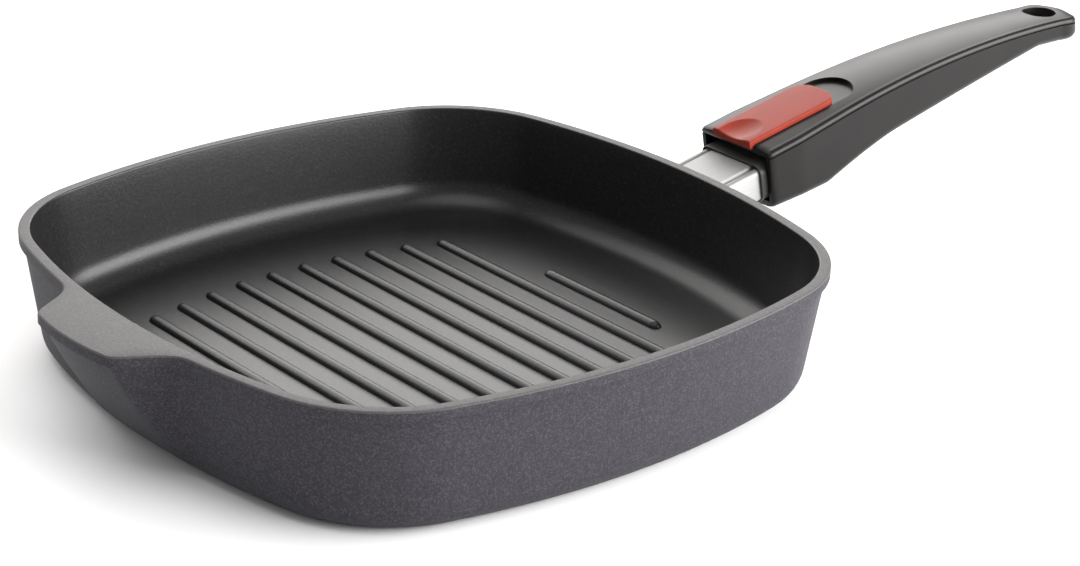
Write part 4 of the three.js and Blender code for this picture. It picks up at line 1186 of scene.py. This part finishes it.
class GRILLPAN_OT_latch(Operator):
    """Latch leaf with its hook, and the steel finish of the works around it"""
    bl_idname = "grillpan.latch"
    bl_label = "Latch works"

    def execute(self, context):
        low = LINER_TOP + SEAT_GAP
        high = low + LEAF_TIP_RISE
        bite = TANG_TOP - HOOK_BITE
        hook_end = HOOK_FRONT + HOOK_LENGTH
        bends = [(LEAF_TIP, high), (LEAF_TIP + LEAF_TIP_FLAT, high), (LEAF_RAMP_END, low)]
        hook = [(HOOK_FRONT, low), (HOOK_FRONT + HOOK_NOSE, bite), (hook_end, bite), (hook_end, low)]
        over = [(u, w + LEAF_SHEET) for u, w in [(LEAF_REAR, low)] + bends[::-1]]
        side = bends + hook + [(LEAF_REAR, low)] + over
        rings = [[on_tang(u, y, w) for u, w in side] for y in (-LEAF_HALF, LEAF_HALF)]
        leaf = loft_piece("spring_leaf", rings, ["plain_steel"])
        cut(leaf, bores(RIVETS[0], RIVETS[1], 0, CUT_ABOVE))
        settle(leaf, "handle", "spring_steel", "latch_leaf")
        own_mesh(leaf)
        for node in ("latch_rivet_left", "latch_rivet_right", "spring_pin", "slider_carriage",
                     "slider_screw_front", "slider_screw_rear"):
            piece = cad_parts[node]
            if not piece.material_slots:
                piece.data.materials.append(finish("plain_steel"))
            for one in piece.material_slots:
                one.material = finish("plain_steel")
        return {"FINISHED"}


# Stage

def soft_light(name, place, target, width, height, power, colour):
    """Large rectangular light that faces a target."""
    data = bpy.data.lights.new(name, "AREA")
    data.shape = "RECTANGLE"
    data.energy = power
    data.size = width
    data.size_y = height
    data.color = colour
    light = new_object(name, data)
    light.location = place
    light.rotation_euler = (Vector(target) - Vector(place)).to_track_quat("-Z", "Y").to_euler()


class GRILLPAN_OT_stage(Operator):
    """Pale floor, soft lights and the camera"""
    bl_idname = "grillpan.stage"
    bl_label = "Stage"

    def execute(self, context):
        scene = context.scene
        reach = FLOOR_REACH
        corners = [(-reach, -reach, 0), (reach, -reach, 0), (reach, reach, 0), (-reach, reach, 0)]
        floor = mesh_piece("floor", corners, [(0, 1, 2, 3)], ["floor_white"])
        world = bpy.data.worlds.new("studio")
        world.use_nodes = True
        world.node_tree.nodes["Background"].inputs["Color"].default_value = (1, 1, 1, 1)
        world.node_tree.nodes["Background"].inputs["Strength"].default_value = WORLD_STRENGTH
        scene.world = world
        for softbox in SOFTBOXES:
            soft_light(*softbox)
        scene.view_settings.view_transform = "Standard"
        data = bpy.data.cameras.new("camera")
        data.sensor_width = SENSOR_WIDTH
        data.lens = CAMERA_FOCAL_PIXELS * SENSOR_WIDTH / FRAME_WIDTH_PIXELS
        data.clip_end = CAMERA_FAR
        camera = new_object("camera", data)
        back = CAMERA_RIGHT.cross(CAMERA_UP)
        turn = Matrix((CAMERA_RIGHT, CAMERA_UP, back)).transposed().to_4x4()
        camera.matrix_world = Matrix.Translation(CAMERA_PLACE * MM) @ turn
        scene.camera = camera
        return {"FINISHED"}


class GRILLPAN_PT_panel(Panel):
    """Lists the pieces of the pan"""
    bl_idname = "GRILLPAN_PT_panel"
    bl_label = "Grill pan"
    bl_space_type = "VIEW_3D"
    bl_region_type = "UI"
    bl_category = "Grill Pan"

    def draw(self, context):
        for operator in OPERATORS:
            self.layout.operator(operator.bl_idname)


OPERATORS = (
    GRILLPAN_OT_stage, GRILLPAN_OT_bowl, GRILLPAN_OT_ribs, GRILLPAN_OT_tang, GRILLPAN_OT_liner,
    GRILLPAN_OT_handle, GRILLPAN_OT_slider, GRILLPAN_OT_screws, GRILLPAN_OT_spring, GRILLPAN_OT_latch,
)
CLASSES = (PanSizes, PanColours, *OPERATORS, GRILLPAN_PT_panel)


def register():
    """Register the classes and the pan's settings."""
    for one in CLASSES:
        bpy.utils.register_class(one)
    bpy.types.Scene.grill_pan = PointerProperty(type=PanSizes)
    bpy.types.Scene.grill_pan_colours = PointerProperty(type=PanColours)


def unregister():
    """Remove the settings and the classes."""
    del bpy.types.Scene.grill_pan_colours
    del bpy.types.Scene.grill_pan
    for one in reversed(CLASSES):
        bpy.utils.unregister_class(one)


def main():
    """Build the pan on its stage."""
    register()
    bpy.ops.grillpan.stage()
    bpy.ops.grillpan.bowl()
    bpy.ops.grillpan.ribs()
    bpy.ops.grillpan.tang()
    bpy.ops.grillpan.liner()
    bpy.ops.grillpan.handle()
    bpy.ops.grillpan.slider()
    bpy.ops.grillpan.screws()
    bpy.ops.grillpan.spring()
    bpy.ops.grillpan.latch()


if __name__ == "__main__":
    main()
